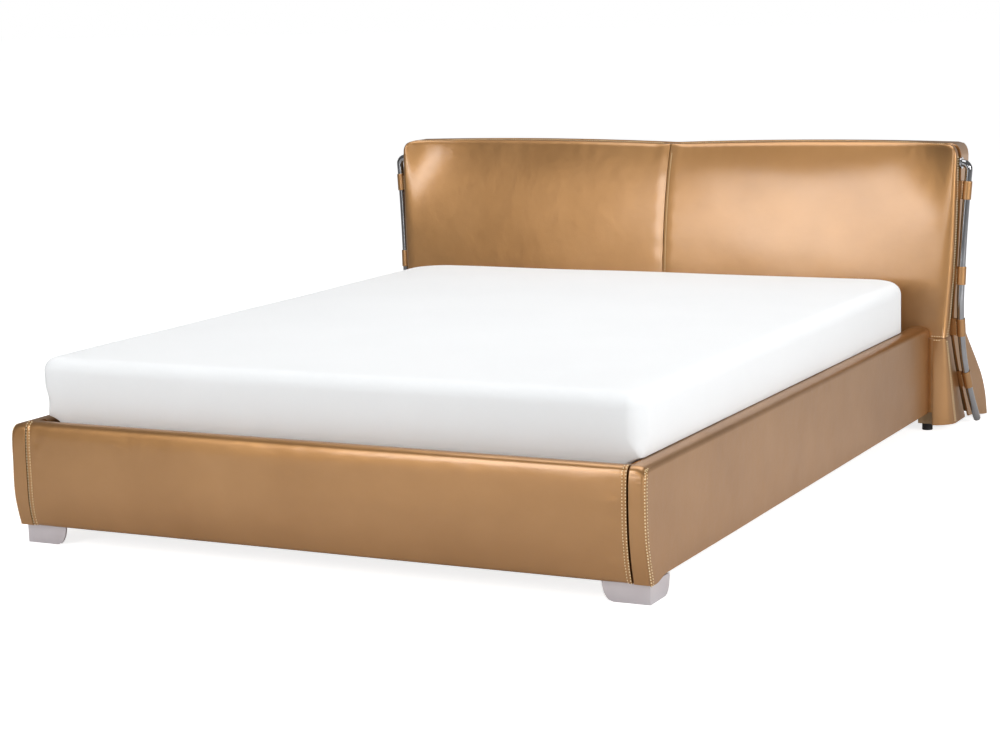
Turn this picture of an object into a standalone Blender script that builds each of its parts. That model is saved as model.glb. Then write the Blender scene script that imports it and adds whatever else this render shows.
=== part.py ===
# Upholstered bed frame with a soft-sided water mattress.
# Metres, +Z up, +Y from the foot to the head, origin under the middle of the bed on the floor.
import math

import bmesh
import bpy
from mathutils import Matrix, Vector

CLEAR = 0.0003
OVERRUN = 0.02
MERGE = 0.00005

# Plan of the whole bed: the rails are as long as the mattress and its gaps
HALF_WIDTH = 0.880
FOOTBOARD_DEPTH = 0.085
MATTRESS_GAP = 0.0035
MATTRESS_LENGTH = 2.050
MATTRESS_HEAD_GAP = 0.0425
RAIL_RUN = MATTRESS_GAP + MATTRESS_LENGTH + MATTRESS_HEAD_GAP
HEAD_GAP = 0.004
HEAD_DEPTH = 0.351
LENGTH = FOOTBOARD_DEPTH + RAIL_RUN + HEAD_GAP + HEAD_DEPTH
FRONT = -LENGTH / 2
FOOT_BACK = FRONT + FOOTBOARD_DEPTH
RAIL_END = FOOT_BACK + RAIL_RUN
HEAD_FRONT = RAIL_END + HEAD_GAP

# Front feet
FRONT_FOOT_HEIGHT = 0.0494
FRONT_FOOT_WIDTH = 0.120
FRONT_FOOT_DEPTH = 0.113
FRONT_FOOT_TAPER = 0.028
FRONT_FOOT_INSET = 0.013
FRONT_FOOT_SETBACK = 0.050
FOOT_ROUND_SHARES = (-0.75, -0.45, 0.0, 0.5)

# Footboard
FOOTBOARD_HEIGHT = 0.2753
FOOTBOARD_END_GAP = 0.0055
BELLY = 0.0406
BELLY_PEAK_SHARE = 0.85
FOOTBOARD_FRONT_ROUND = 0.0193
FOOTBOARD_BACK_ROUND = 0.012
FOOTBOARD_TOP_FALL = 0.010
BOARD_THICK = 0.022
FOOTBOARD_BOARD_SETBACK = 0.0506
BOARD_TOP_COVER = 0.035
BELLY_STEPS = 9
ROUND_STEPS = 4

# Side rails
RAIL_LIFT = 0.0608
RAIL_THICK = 0.080
RAIL_RISE = 0.0003
RAIL_CREST = 0.032
RAIL_OUTER_FALL = 0.0163
RAIL_INNER_FALL = 0.030
RAIL_BOARD_INSET = 0.029
STRIP_WIDTH = 0.0455
STRIP_LAP = 0.005

# Corner brackets and bolts
BRACKET_LEG = 0.060
BRACKET_THICK = 0.003
BRACKET_LIFT = 0.120
BRACKET_HEIGHT = 0.080
BOLT_RADIUS = 0.004
BOLT_HEAD_RADIUS = 0.0075
BOLT_HEAD_HEIGHT = 0.005
BOLT_LENGTH = 0.048
BOLT_STEPS = 12

# Headboard, with overhangs counted from the rails and lengths along the bed from HEAD_FRONT
HEAD_WAIST = 0.2888
HEAD_TOP = 0.874
HEAD_ARCH = 0.010
HEAD_ARCH_PEAK_SHARE = 0.60
HEAD_CORNER_ROUND = 0.030
HEAD_TOP_OVERHANG = 0.068
HEAD_WAIST_OVERHANG = 0.0475
HEM_OVERHANG = 0.065
HEAD_SIDE_TOP = HALF_WIDTH + HEAD_TOP_OVERHANG
HEAD_SIDE_WAIST = HALF_WIDTH + HEAD_WAIST_OVERHANG
HEM_SIDE = HALF_WIDTH + HEM_OVERHANG
HEAD_SIDE_SWELL = 0.006
HEM_LIFT = 0.0203
HEM_SETBACK = 0.039
LEAN = 0.0506
CURL = 0.056
SIDE_LEAN = 0.044
BACK_EDGE_SHARE = 0.975
CUSHION_THICK = 0.045
CUSHION_ROUND = 0.012
SEAM_HALF_GAP = 0.0012
SEAM_DEPTH = 0.012
SEAM_REACH = 0.022
CUSHION_WIDTH_SHARES = (-0.985, -0.955, -0.9, -0.6, -0.2, 0.2, 0.5, 0.72, 0.86, 0.94, 0.975, 0.993)
CUSHION_HEIGHT_SHARES = (-0.9, -0.8, -0.7, -0.61, -0.3, 0.1, 0.45, 0.7, 0.88)
PANEL_HEIGHT_SHARES = (-0.7, -0.4, -0.1, 0.3)

# Line of the side gap that the tubes follow
GAP_WIDTH = 0.007
GAP_SETBACK = 0.058
GAP_LEAN = 0.020
GAP_BEND_RISE = 0.1112
GAP_BEND_HEIGHT = HEAD_WAIST + GAP_BEND_RISE
GAP_BEND_RUN = GAP_BEND_HEIGHT - HEM_LIFT
GAP_SWEEP = 0.130

# Headboard shell
SHELL_THICK = 0.006
SHELL_PROUD = 0.004
SHELL_TOP_PROUD = 0.001
SHELL_WAIST_SETBACK = 0.134
SHELL_WAIST_HEIGHT = GAP_BEND_HEIGHT
SHELL_LEAN = 0.040
SHELL_FLARE = HEAD_DEPTH - SHELL_WAIST_SETBACK
SHELL_FLARE_HEIGHT = 0.360
SHELL_WIDTH_SHARES = (-0.993, -0.97, -0.93, -0.6, -0.3, 0.0, 0.3, 0.6, 0.93, 0.97, 0.993)
SHELL_HEIGHT_SHARES = (-0.86, -0.72, -0.58, -0.44, -0.36, -0.28, -0.2, -0.103, 0.4, 0.93)
SHELL_DEPTH_SHARES = (0.0,)

# Headboard timbers
POST_WIDTH = 0.050
POST_OVERHANG = 0.007
POST_SIDE = HALF_WIDTH + POST_OVERHANG
POST_TOP_FALL = 0.034
POST_TOP = HEAD_TOP - POST_TOP_FALL
POST_HEAD_MARGIN = 0.0022
BOTTOM_RAIL_THICK = 0.022
TOP_RAIL_THICK = 0.021
TOP_RAIL_FALL = 0.010
TOP_RAIL_HEIGHT = 0.055
TOP_RAIL_HIGH = POST_TOP - TOP_RAIL_FALL
TOP_RAIL_LOW = TOP_RAIL_HIGH - TOP_RAIL_HEIGHT
TOP_RAIL_MARGIN = 0.0016
REAR_FOOT_RADIUS = 0.016
REAR_FOOT_STEPS = 20

# Side tubes, sockets and leather loops
TUBE_RADIUS = 0.011
TUBE_STANDOFF = 0.029
TUBE_LOW = 0.012
TUBE_BEND_FALL = 0.0805
TUBE_BEND_START = HEAD_TOP - TUBE_BEND_FALL
TUBE_BEND_RADIUS = 0.020
TUBE_STEPS = 24
TUBE_BEND_STEPS = 5
SOCKET_LENGTH = 0.0045
SOCKET_WALL = 0.0065
SOCKET_STEPS = 20
LOOP_HEIGHT = 0.055
LOOP_LEATHER = 0.002
LOOP_SLACK = 0.0008
LOOP_TAB = 0.0046
LOOP_TUCK = 0.012
LOOP_STEPS = 14
LOOP_LEVEL_SHARES = (0.921, 0.592, 0.3895, 0.1744)

# Pedestal and deck
PEDESTAL_HEIGHT = 0.2417
PEDESTAL_BOARD = 0.020
PEDESTAL_SIDE_INSET = 0.280
PEDESTAL_HALF = HALF_WIDTH - PEDESTAL_SIDE_INSET
PEDESTAL_INSET = 0.250
DECK_THICK = 0.018

# Water mattress
MATTRESS_OVERLAP = 0.011
MATTRESS_CORNER = 0.070
MATTRESS_DEPTH = 0.1892
MATTRESS_CROWN = 0.004
MATTRESS_TUCK = 0.026
MATTRESS_SHOULDER = 0.050
BASE_COVER_DEPTH = 0.0267
MATTRESS_HEIGHT_SHARES = (0.0, 0.068, 0.18, 0.31, 0.56, 0.76, 0.87, 0.94, 0.98, 1.0)
MATTRESS_TUCK_SHARES = (1.0, 1.0, 0.58, 0.12, 0.0, 0.0, 0.0, 0.0, 0.0, 0.0)
MATTRESS_SHOULDER_SHARES = (0.0, 0.0, 0.0, 0.0, 0.0, 0.08, 0.27, 0.52, 0.78, 1.0)
MATTRESS_GRID_SHARES = (-0.8, -0.4, 0.0, 0.4, 0.8)
COVER_WALL = 0.009
COVER_TOP_PAD = 0.025
BASE_PAD = 0.010
FOAM_WIDTH = 0.176
POCKET_CORNER = 0.050
LINER_THICK = 0.001
HEATER_WIDTH = 0.700
HEATER_LENGTH = 0.300
HEATER_THICK = 0.003
HEATER_SHIFT = 0.250
CORE_HEIGHT = 0.155
CORE_ROUND = 0.018
CORNER_STEPS = 5
NECK_RADIUS = 0.019
NECK_HEIGHT = 0.009
CAP_RADIUS = 0.024
CAP_HEIGHT = 0.014
CAP_TOP = 0.003
CAP_STEPS = 20
CAP_INSET = 0.2481
CAP_SETBACK = 0.2621
SLIDER_THICK = 0.008
SLIDER_LENGTH = 0.028
SLIDER_HEIGHT = 0.018
SLIDER_ROUND = 0.002

# Heater control on the pedestal
CONTROL_SHIFT = 0.450
CONTROL_LIFT = 0.095
CONTROL_DEPTH = 0.045
CONTROL_WIDTH = 0.140
CONTROL_HEIGHT = 0.090
CONTROL_WALL = 0.0025
CONTROL_ROUND = 0.004
CIRCUIT_THICK = 0.0016
CIRCUIT_SETBACK = 0.012
DIAL_RADIUS = 0.019
DIAL_TOP_RADIUS = 0.0171
DIAL_HEIGHT = 0.012
DIAL_SHAFT = 0.003
DIAL_SHAFT_LENGTH = 0.012
DIAL_STEPS = 24
DIAL_SHIFT = 0.032
POINTER_REACH = 0.0152
POINTER_WIDTH = 0.004
POINTER_HEIGHT = 0.003
ROCKER_LENGTH = 0.019
ROCKER_WIDTH = 0.012
ROCKER_THICK = 0.008
ROCKER_SLACK = 0.0012
ROCKER_SHIFT = 0.036
ROCKER_TILT = math.radians(8)
ROCKER_PROUD = 0.0055
LEAD_SLOT_LENGTH = 0.014
LEAD_SLOT_WIDTH = 0.008

FOOT_Z = FRONT_FOOT_HEIGHT + CLEAR
FOOTBOARD_TOP = FOOT_Z + FOOTBOARD_HEIGHT
FOOTBOARD_HALF = HALF_WIDTH - STRIP_WIDTH - FOOTBOARD_END_GAP
RAIL_TOP = FOOTBOARD_TOP + RAIL_RISE
RAIL_INNER = HALF_WIDTH - RAIL_THICK
HOLE_RADIUS = BOLT_RADIUS + CLEAR
DECK_LOW = PEDESTAL_HEIGHT + CLEAR
DECK_TOP = DECK_LOW + DECK_THICK
BASE_LOW = DECK_TOP + CLEAR
BASE_TOP = BASE_LOW + BASE_PAD
ZIP_HEIGHT = BASE_LOW + BASE_COVER_DEPTH
MATTRESS_LOW = ZIP_HEIGHT + CLEAR
MATTRESS_TOP = MATTRESS_LOW + MATTRESS_DEPTH
MATTRESS_MIDDLE = FOOT_BACK + MATTRESS_GAP + MATTRESS_LENGTH / 2
MATTRESS_HALF = Vector((RAIL_INNER + MATTRESS_OVERLAP, MATTRESS_LENGTH / 2))
ZIP_HALF = MATTRESS_HALF - Vector((MATTRESS_TUCK, MATTRESS_TUCK))
CAVITY_HALF = ZIP_HALF - Vector((COVER_WALL, COVER_WALL))
CAVITY_TOP = MATTRESS_TOP - COVER_TOP_PAD
FOAM_HALF = CAVITY_HALF - Vector((CLEAR, CLEAR))
FOAM_TOP = CAVITY_TOP - CLEAR
POCKET_HALF = FOAM_HALF - Vector((FOAM_WIDTH, FOAM_WIDTH))
LINER_LOW = BASE_TOP + CLEAR + HEATER_THICK + CLEAR
CORE_LOW = LINER_LOW + LINER_THICK + CLEAR
CORE_TOP = CORE_LOW + CORE_HEIGHT

for old in list(bpy.data.objects):
    bpy.data.objects.remove(old, do_unlink=True)


def new_collection(name):
    collection = bpy.data.collections.new(name)
    bpy.context.scene.collection.children.link(collection)
    return collection


PIECES = new_collection("waterbed")
CUTTERS = new_collection("cutters")


def finish(name, colour, roughness, metallic=0.0):
    material = bpy.data.materials.new(name)
    material.use_nodes = True
    shader = material.node_tree.nodes["Principled BSDF"]
    shader.inputs["Base Color"].default_value = (*colour, 1.0)
    shader.inputs["Roughness"].default_value = roughness
    shader.inputs["Metallic"].default_value = metallic
    return material


LOOKS = {
    "leather": ((0.42, 0.24, 0.11), 0.38, 0.6),
    "board": ((0.55, 0.42, 0.28), 0.7),
    "silver": ((0.58, 0.55, 0.57), 0.35, 0.3),
    "steel": ((0.55, 0.56, 0.57), 0.4, 0.9),
    "chrome": ((0.8, 0.8, 0.82), 0.08, 1.0),
    "black": ((0.02, 0.02, 0.02), 0.5),
    "white_cloth": ((0.87, 0.87, 0.87), 0.9),
    "foam": ((0.75, 0.73, 0.62), 0.95),
    "vinyl": ((0.16, 0.3, 0.48), 0.35),
    "liner": ((0.1, 0.1, 0.11), 0.45),
    "heater": ((0.05, 0.05, 0.05), 0.5),
    "circuit": ((0.02, 0.16, 0.06), 0.5),
    "dial": ((0.8, 0.8, 0.8), 0.4),
}


def add_piece(name, mesh, look):
    """Link a mesh as one named piece with a material of its own."""
    piece = bpy.data.objects.new(name, mesh)
    PIECES.objects.link(piece)
    mesh.materials.clear()
    mesh.materials.append(finish(name, *LOOKS[look]))
    return piece


def add_cutter(name, mesh):
    cutter = bpy.data.objects.new(name, mesh)
    CUTTERS.objects.link(cutter)
    cutter.hide_render = True
    cutter.display_type = "WIRE"
    return cutter


def to_mesh(bm, name):
    """Turn a closed bmesh into a mesh whose faces point out."""
    bmesh.ops.recalc_face_normals(bm, faces=bm.faces)
    if bm.calc_volume(signed=True) < 0:
        bmesh.ops.reverse_faces(bm, faces=bm.faces)
    mesh = bpy.data.meshes.new(name)
    bm.to_mesh(mesh)
    bm.free()
    return mesh


def box_mesh(name, low, high):
    """A cube primitive stretched between two corners."""
    low = Vector(low)
    high = Vector(high)
    bm = bmesh.new()
    bmesh.ops.create_cube(bm, size=1.0)
    size = high - low
    middle = (high + low) / 2
    for vertex in bm.verts:
        vertex.co = middle + Vector(a * b for a, b in zip(vertex.co, size))
    return to_mesh(bm, name)


def box(name, low, high, look):
    return add_piece(name, box_mesh(name, low, high), look)


def slice_across(bm, axis, places):
    """Cut a mesh by planes square to one axis, keeping both sides."""
    normal = Vector((0.0, 0.0, 0.0))
    normal[axis] = 1.0
    for place in places:
        everything = bm.verts[:] + bm.edges[:] + bm.faces[:]
        bmesh.ops.bisect_plane(bm, geom=everything, plane_co=normal * place, plane_no=normal)


def sliced_cube(shares):
    """A cube from -1 to 1, cut across each axis at the given shares."""
    bm = bmesh.new()
    bmesh.ops.create_cube(bm, size=2.0)
    for axis, places in enumerate(shares):
        slice_across(bm, axis, places)
    return bm


def shaped(name, shares, place, look):
    """A sliced cube whose vertices are moved to where place says."""
    bm = sliced_cube(shares)
    for vertex in bm.verts:
        vertex.co = place(*vertex.co)
    return add_piece(name, to_mesh(bm, name), look)


ALONG_X = Matrix(((0, 0, 1), (1, 0, 0), (0, 1, 0))).to_4x4()
ALONG_Y = Matrix(((1, 0, 0), (0, 0, -1), (0, 1, 0))).to_4x4()
ALONG_Z = Matrix.Identity(4)


def outline_mesh(name, outlines, low, high, matrix):
    """A flat outline filled and extruded from low to high, then turned by the matrix."""
    curve = bpy.data.curves.new(name, "CURVE")
    curve.dimensions = "2D"
    curve.fill_mode = "BOTH"
    curve.extrude = (high - low) / 2
    for points in outlines:
        spline = curve.splines.new("POLY")
        spline.points.add(len(points) - 1)
        for point, place in zip(spline.points, points):
            point.co = (*place, 0.0, 1.0)
        spline.use_cyclic_u = True
    source = bpy.data.objects.new(name, curve)
    PIECES.objects.link(source)
    bpy.context.view_layer.update()
    graph = bpy.context.evaluated_depsgraph_get()
    bm = bmesh.new()
    flat = bpy.data.meshes.new_from_object(source.evaluated_get(graph))
    bm.from_mesh(flat)
    bmesh.ops.remove_doubles(bm, verts=bm.verts, dist=MERGE)
    lift = Matrix.Translation((0.0, 0.0, (high + low) / 2))
    bmesh.ops.transform(bm, matrix=matrix @ lift, verts=bm.verts)
    bpy.data.objects.remove(source, do_unlink=True)
    return to_mesh(bm, name)


def turned(name, profile, steps, matrix, look=None):
    """A profile of (radius, height) points, top to bottom, turned about Z and set by a matrix."""
    mesh = bpy.data.meshes.new(name)
    bm = bmesh.new()
    corners = [bm.verts.new((radius, 0.0, height)) for radius, height in profile]
    for first, second in zip(corners, corners[1:]):
        bm.edges.new((first, second))
    if profile[0][0] > 0:
        bm.edges.new((corners[-1], corners[0]))
    bm.to_mesh(mesh)
    bm.free()
    piece = add_piece(name, mesh, look) if look else add_cutter(name, mesh)
    piece.matrix_world = matrix
    screw = piece.modifiers.new("turn", "SCREW")
    screw.steps = steps
    screw.render_steps = steps
    screw.use_merge_vertices = True
    screw.merge_threshold = MERGE
    return piece


def boolean(piece, other, operation="DIFFERENCE"):
    modifier = piece.modifiers.new(other.name, "BOOLEAN")
    modifier.operation = operation
    modifier.object = other
    modifier.solver = "EXACT"


def bevel(piece, width, segments=2, angle=math.radians(40)):
    modifier = piece.modifiers.new("round", "BEVEL")
    modifier.width = width
    modifier.segments = segments
    modifier.limit_method = "ANGLE"
    modifier.angle_limit = angle


def spread(count):
    """Shares from 0 to 1 in equal steps."""
    return [step / count for step in range(count + 1)]


def arc(centre, radii, start, end, steps):
    """Points of an elliptic arc in a plane, angles in degrees."""
    points = []
    for share in spread(steps):
        angle = math.radians(start + (end - start) * share)
        points.append((centre[0] + radii[0] * math.cos(angle), centre[1] + radii[1] * math.sin(angle)))
    return points


SIDES = (("left", -1), ("right", 1))


# Footboard


def footboard_outline(low, slot, back=FOOT_BACK):
    """Side view (Y, Z) of the padded footboard, with a slot for its board or without."""
    bend = 1 - FOOTBOARD_FRONT_ROUND / FOOTBOARD_HEIGHT
    points = []
    for share in spread(BELLY_STEPS)[:-1]:
        reach = math.sin(math.pi / 2 * share * bend / BELLY_PEAK_SHARE)
        points.append((FRONT + BELLY * (1 - reach), low + share * bend * FOOTBOARD_HEIGHT))
    face = FRONT + BELLY * (1 - math.sin(math.pi / 2 * bend / BELLY_PEAK_SHARE))
    radius = FOOTBOARD_FRONT_ROUND
    points += arc((face + radius, FOOTBOARD_TOP - radius), (radius, radius), 180, 90, ROUND_STEPS)
    radius = FOOTBOARD_BACK_ROUND
    fall = FOOTBOARD_TOP - FOOTBOARD_TOP_FALL - radius
    points += arc((back - radius, fall), (radius, radius), 80, 0, ROUND_STEPS)
    points.append((back, low))
    if slot:
        slot_front = FRONT + FOOTBOARD_BOARD_SETBACK - CLEAR
        slot_back = slot_front + BOARD_THICK + 2 * CLEAR
        slot_top = FOOTBOARD_TOP - BOARD_TOP_COVER
        points += [(slot_back, low), (slot_back, slot_top), (slot_front, slot_top), (slot_front, low)]
    return points


def make_footboard():
    points = footboard_outline(FOOT_Z, True)
    mesh = outline_mesh("footboard_cover", [points], -FOOTBOARD_HALF, FOOTBOARD_HALF, ALONG_X)
    add_piece("footboard_cover", mesh, "leather")
    front = FRONT + FOOTBOARD_BOARD_SETBACK
    top = FOOTBOARD_TOP - BOARD_TOP_COVER - CLEAR
    box("footboard_board", (-FOOTBOARD_HALF, front, FOOT_Z),
        (FOOTBOARD_HALF, front + BOARD_THICK, top), "board")


def make_front_foot(side_name, side):
    """A block with two flat outer sides and two inner sides that curve in towards the floor."""
    outer = HALF_WIDTH - FRONT_FOOT_INSET
    front = FRONT + FRONT_FOOT_SETBACK

    def place(u, v, w):
        drop = (1 - w) / 2
        taper = FRONT_FOOT_TAPER * (1 - math.sqrt(1 - drop ** 2))
        across = (u + 1) / 2 * (FRONT_FOOT_WIDTH - taper)
        along = (v + 1) / 2 * (FRONT_FOOT_DEPTH - taper)
        return Vector((side * (outer - across), front + along, (1 - drop) * FRONT_FOOT_HEIGHT))

    shaped("front_foot_" + side_name, ((), (), FOOT_ROUND_SHARES), place, "silver")


# Side rails


def rail_outline(side):
    """End view (X, Z) of a padded rail with a slot for its board."""
    crest = HALF_WIDTH - RAIL_CREST
    points = [(HALF_WIDTH, RAIL_LIFT)]
    centre = (crest, RAIL_TOP - RAIL_OUTER_FALL)
    points += arc(centre, (RAIL_CREST, RAIL_OUTER_FALL), 0, 90, ROUND_STEPS)
    centre = (crest, RAIL_TOP - RAIL_INNER_FALL)
    inner = crest - RAIL_INNER
    points += arc(centre, (inner, RAIL_INNER_FALL), 90, 180, ROUND_STEPS)[1:]
    slot_low = HALF_WIDTH - RAIL_BOARD_INSET - BOARD_THICK - CLEAR
    slot_high = HALF_WIDTH - RAIL_BOARD_INSET + CLEAR
    slot_top = RAIL_TOP - BOARD_TOP_COVER
    points += [(RAIL_INNER, RAIL_LIFT), (slot_low, RAIL_LIFT), (slot_low, slot_top)]
    points += [(slot_high, slot_top), (slot_high, RAIL_LIFT)]
    return [(side * x, z) for x, z in points]


def make_rail(side_name, side):
    name = "side_rail_cover_" + side_name
    start = FOOT_BACK + CLEAR
    mesh = outline_mesh(name, [rail_outline(side)], -RAIL_END, -start, ALONG_Y)
    cover = add_piece(name, mesh, "leather")
    points = footboard_outline(FOOT_Z, False, FOOT_BACK + CLEAR + STRIP_LAP)
    ends = sorted((side * (HALF_WIDTH - STRIP_WIDTH), side * HALF_WIDTH))
    strip_mesh = outline_mesh(name + "_strip", [points], *ends, ALONG_X)
    boolean(cover, add_cutter(name + "_strip", strip_mesh), "UNION")
    outer = side * (HALF_WIDTH - RAIL_BOARD_INSET)
    inner = outer - side * BOARD_THICK
    board_start = start + STRIP_LAP + CLEAR
    top = RAIL_TOP - BOARD_TOP_COVER - CLEAR
    board = box("side_rail_board_" + side_name, (min(inner, outer), board_start, RAIL_LIFT),
                (max(inner, outer), RAIL_END, top), "board")
    return cover, board


def bolt_profile(radius, head_radius, gap):
    """Head on top of a shank that points down, with its underside at height 0."""
    return [(0.0, BOLT_HEAD_HEIGHT), (head_radius, BOLT_HEAD_HEIGHT), (head_radius, gap),
            (radius, gap), (radius, -BOLT_LENGTH - gap), (0.0, -BOLT_LENGTH - gap)]


def make_corner(name, side, along, cover, board):
    """An angle bracket in one inner corner, and the bolt that ties it to the rail.

    along is 1 at the foot, where the bracket reaches towards the head, and -1 at the head.
    """
    corner_x = RAIL_INNER - CLEAR
    corner_y = FOOT_BACK + CLEAR if along > 0 else HEAD_FRONT - CLEAR
    plan = [(0.0, 0.0), (BRACKET_LEG, 0.0), (BRACKET_LEG, BRACKET_THICK),
            (BRACKET_THICK, BRACKET_THICK), (BRACKET_THICK, BRACKET_LEG), (0.0, BRACKET_LEG)]
    plan = [(side * (corner_x - x), corner_y + along * y) for x, y in plan]
    low = BRACKET_LIFT
    mesh = outline_mesh(name, [plan], low, low + BRACKET_HEIGHT, ALONG_Z)
    bracket = add_piece("corner_bracket_" + name, mesh, "steel")
    seat = Matrix.Translation((side * (corner_x - BRACKET_THICK - CLEAR),
                               corner_y + along * BRACKET_LEG / 2, low + BRACKET_HEIGHT / 2))
    turn = Matrix.Rotation(-side * math.pi / 2, 4, "Y")
    turned("corner_bolt_" + name, bolt_profile(BOLT_RADIUS, BOLT_HEAD_RADIUS, 0.0), BOLT_STEPS,
           seat @ turn, "steel")
    drill_profile = bolt_profile(HOLE_RADIUS, HOLE_RADIUS, CLEAR)
    drill = turned("corner_drill_" + name, drill_profile, BOLT_STEPS, seat @ turn)
    for piece in (bracket, cover, board):
        boolean(piece, drill)


# Headboard


def side_x(z):
    """Half width of the headboard at a height: narrow at the waist, wider above and at the hem."""
    if z < HEAD_WAIST:
        return HEM_SIDE + (HEAD_SIDE_WAIST - HEM_SIDE) * (z - HEM_LIFT) / (HEAD_WAIST - HEM_LIFT)
    rise = (z - HEAD_WAIST) / (HEAD_TOP - HEAD_WAIST)
    swell = HEAD_SIDE_SWELL * math.sin(math.pi * rise)
    return HEAD_SIDE_WAIST + (HEAD_SIDE_TOP - HEAD_SIDE_WAIST) * rise + swell


def top_z(share):
    """Top line: two shallow arches, with rounded outer corners."""
    arch = HEAD_ARCH * (1 - ((share - HEAD_ARCH_PEAK_SHARE) / HEAD_ARCH_PEAK_SHARE) ** 2)
    corner = HEAD_CORNER_ROUND / HEAD_SIDE_TOP
    past = max(0.0, (share - 1 + corner) / corner)
    drop = HEAD_CORNER_ROUND * (1 - math.sqrt(max(0.0, 1 - past ** 2)))
    return HEAD_TOP + arch - HEAD_ARCH - drop


def wing_share(share):
    """How much of the wing a place across the headboard has: nearly all of it is at the edge."""
    return share ** 5


def face_y(share, z):
    """Front face: it leans and curls back in the middle, and stays forward in the wings."""
    rise = max(0.0, (z - HEAD_WAIST) / (HEAD_TOP - HEAD_WAIST))
    middle = LEAN * rise + CURL * rise ** 4
    wing = SIDE_LEAN * math.sqrt(rise)
    return HEAD_FRONT + middle + (wing - middle) * wing_share(share)


def gap_y(z):
    """Middle of the gap at the side that the tube follows."""
    if z >= GAP_BEND_HEIGHT:
        rise = (z - GAP_BEND_HEIGHT) / (HEAD_TOP - GAP_BEND_HEIGHT)
        return HEAD_FRONT + GAP_SETBACK + GAP_LEAN * rise
    fall = (GAP_BEND_HEIGHT - z) / GAP_BEND_RUN
    return HEAD_FRONT + GAP_SETBACK + GAP_SWEEP * fall ** 1.7


def back_y(share, z):
    """Back face of the cushions, which meets the side gap at the outer edge."""
    middle = face_y(share, z) + CUSHION_THICK
    side = gap_y(z) - GAP_WIDTH / 2
    return middle + (side - middle) * wing_share(min(1.0, share / BACK_EDGE_SHARE))


def shell_y(z):
    """Rear outline of the shell: it leans above the waist and flares out below."""
    if z >= SHELL_WAIST_HEIGHT:
        rise = (z - SHELL_WAIST_HEIGHT) / (HEAD_TOP - SHELL_WAIST_HEIGHT)
        return HEAD_FRONT + SHELL_WAIST_SETBACK + SHELL_LEAN * rise
    fall = min(1.0, (SHELL_WAIST_HEIGHT - z) / SHELL_FLARE_HEIGHT)
    return HEAD_FRONT + SHELL_WAIST_SETBACK + SHELL_FLARE * fall * fall * (3 - 2 * fall)


def make_cushion(side_name, side):
    def place(u, v, w):
        share = (u + 1) / 2
        low = HEAD_WAIST + CLEAR
        z = low + (w + 1) / 2 * (top_z(share) - low)
        x = SEAM_HALF_GAP + share * (side_x(z) - SEAM_HALF_GAP)
        front = face_y(share, z) + SEAM_DEPTH * math.exp(-(x / SEAM_REACH) ** 2)
        y = front + (v + 1) / 2 * (back_y(share, z) - front)
        return Vector((side * x, y, z))

    shares = (CUSHION_WIDTH_SHARES, (), CUSHION_HEIGHT_SHARES)
    cushion = shaped("headboard_cushion_" + side_name, shares, place, "leather")
    bevel(cushion, CUSHION_ROUND)


def make_side_panel(side_name, side):
    """The padded end below the stitched seam, from the post out to the hem's corner."""
    inner = POST_SIDE + CLEAR

    def place(u, v, w):
        z = HEM_LIFT + (w + 1) / 2 * (HEAD_WAIST - HEM_LIFT)
        front = HEAD_FRONT + HEM_SETBACK * (HEAD_WAIST - z) / (HEAD_WAIST - HEM_LIFT)
        rear = gap_y(z) - GAP_WIDTH / 2
        x = inner + (u + 1) / 2 * (side_x(z) - inner)
        return Vector((side * x, front + (v + 1) / 2 * (rear - front), z))

    panel = shaped("headboard_side_panel_" + side_name, ((), (), PANEL_HEIGHT_SHARES), place, "leather")
    bevel(panel, CUSHION_ROUND / 2)


def make_shell():
    """Leather shell round the back, sides and top of the headboard, open in front and below."""
    bm = sliced_cube((SHELL_WIDTH_SHARES, SHELL_DEPTH_SHARES, SHELL_HEIGHT_SHARES))
    faces = [f for f in bm.faces if f.normal.y < -0.5 or f.normal.z < -0.5]
    bmesh.ops.delete(bm, geom=faces, context="FACES")
    for vertex in bm.verts:
        u, v, w = vertex.co
        share = abs(u)
        top = top_z(share) + SHELL_TOP_PROUD
        z = HEM_LIFT + (w + 1) / 2 * (top - HEM_LIFT)
        front = back_y(share, z) + GAP_WIDTH
        y = front + (v + 1) / 2 * (shell_y(z) - front)
        vertex.co = (u * (side_x(z) + SHELL_PROUD), y, z)
    mesh = bpy.data.meshes.new("headboard_shell")
    bm.to_mesh(mesh)
    bm.free()
    shell = add_piece("headboard_shell", mesh, "leather")
    solidify = shell.modifiers.new("thickness", "SOLIDIFY")
    solidify.thickness = SHELL_THICK
    solidify.offset = -1
    solidify.use_even_offset = True


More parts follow.
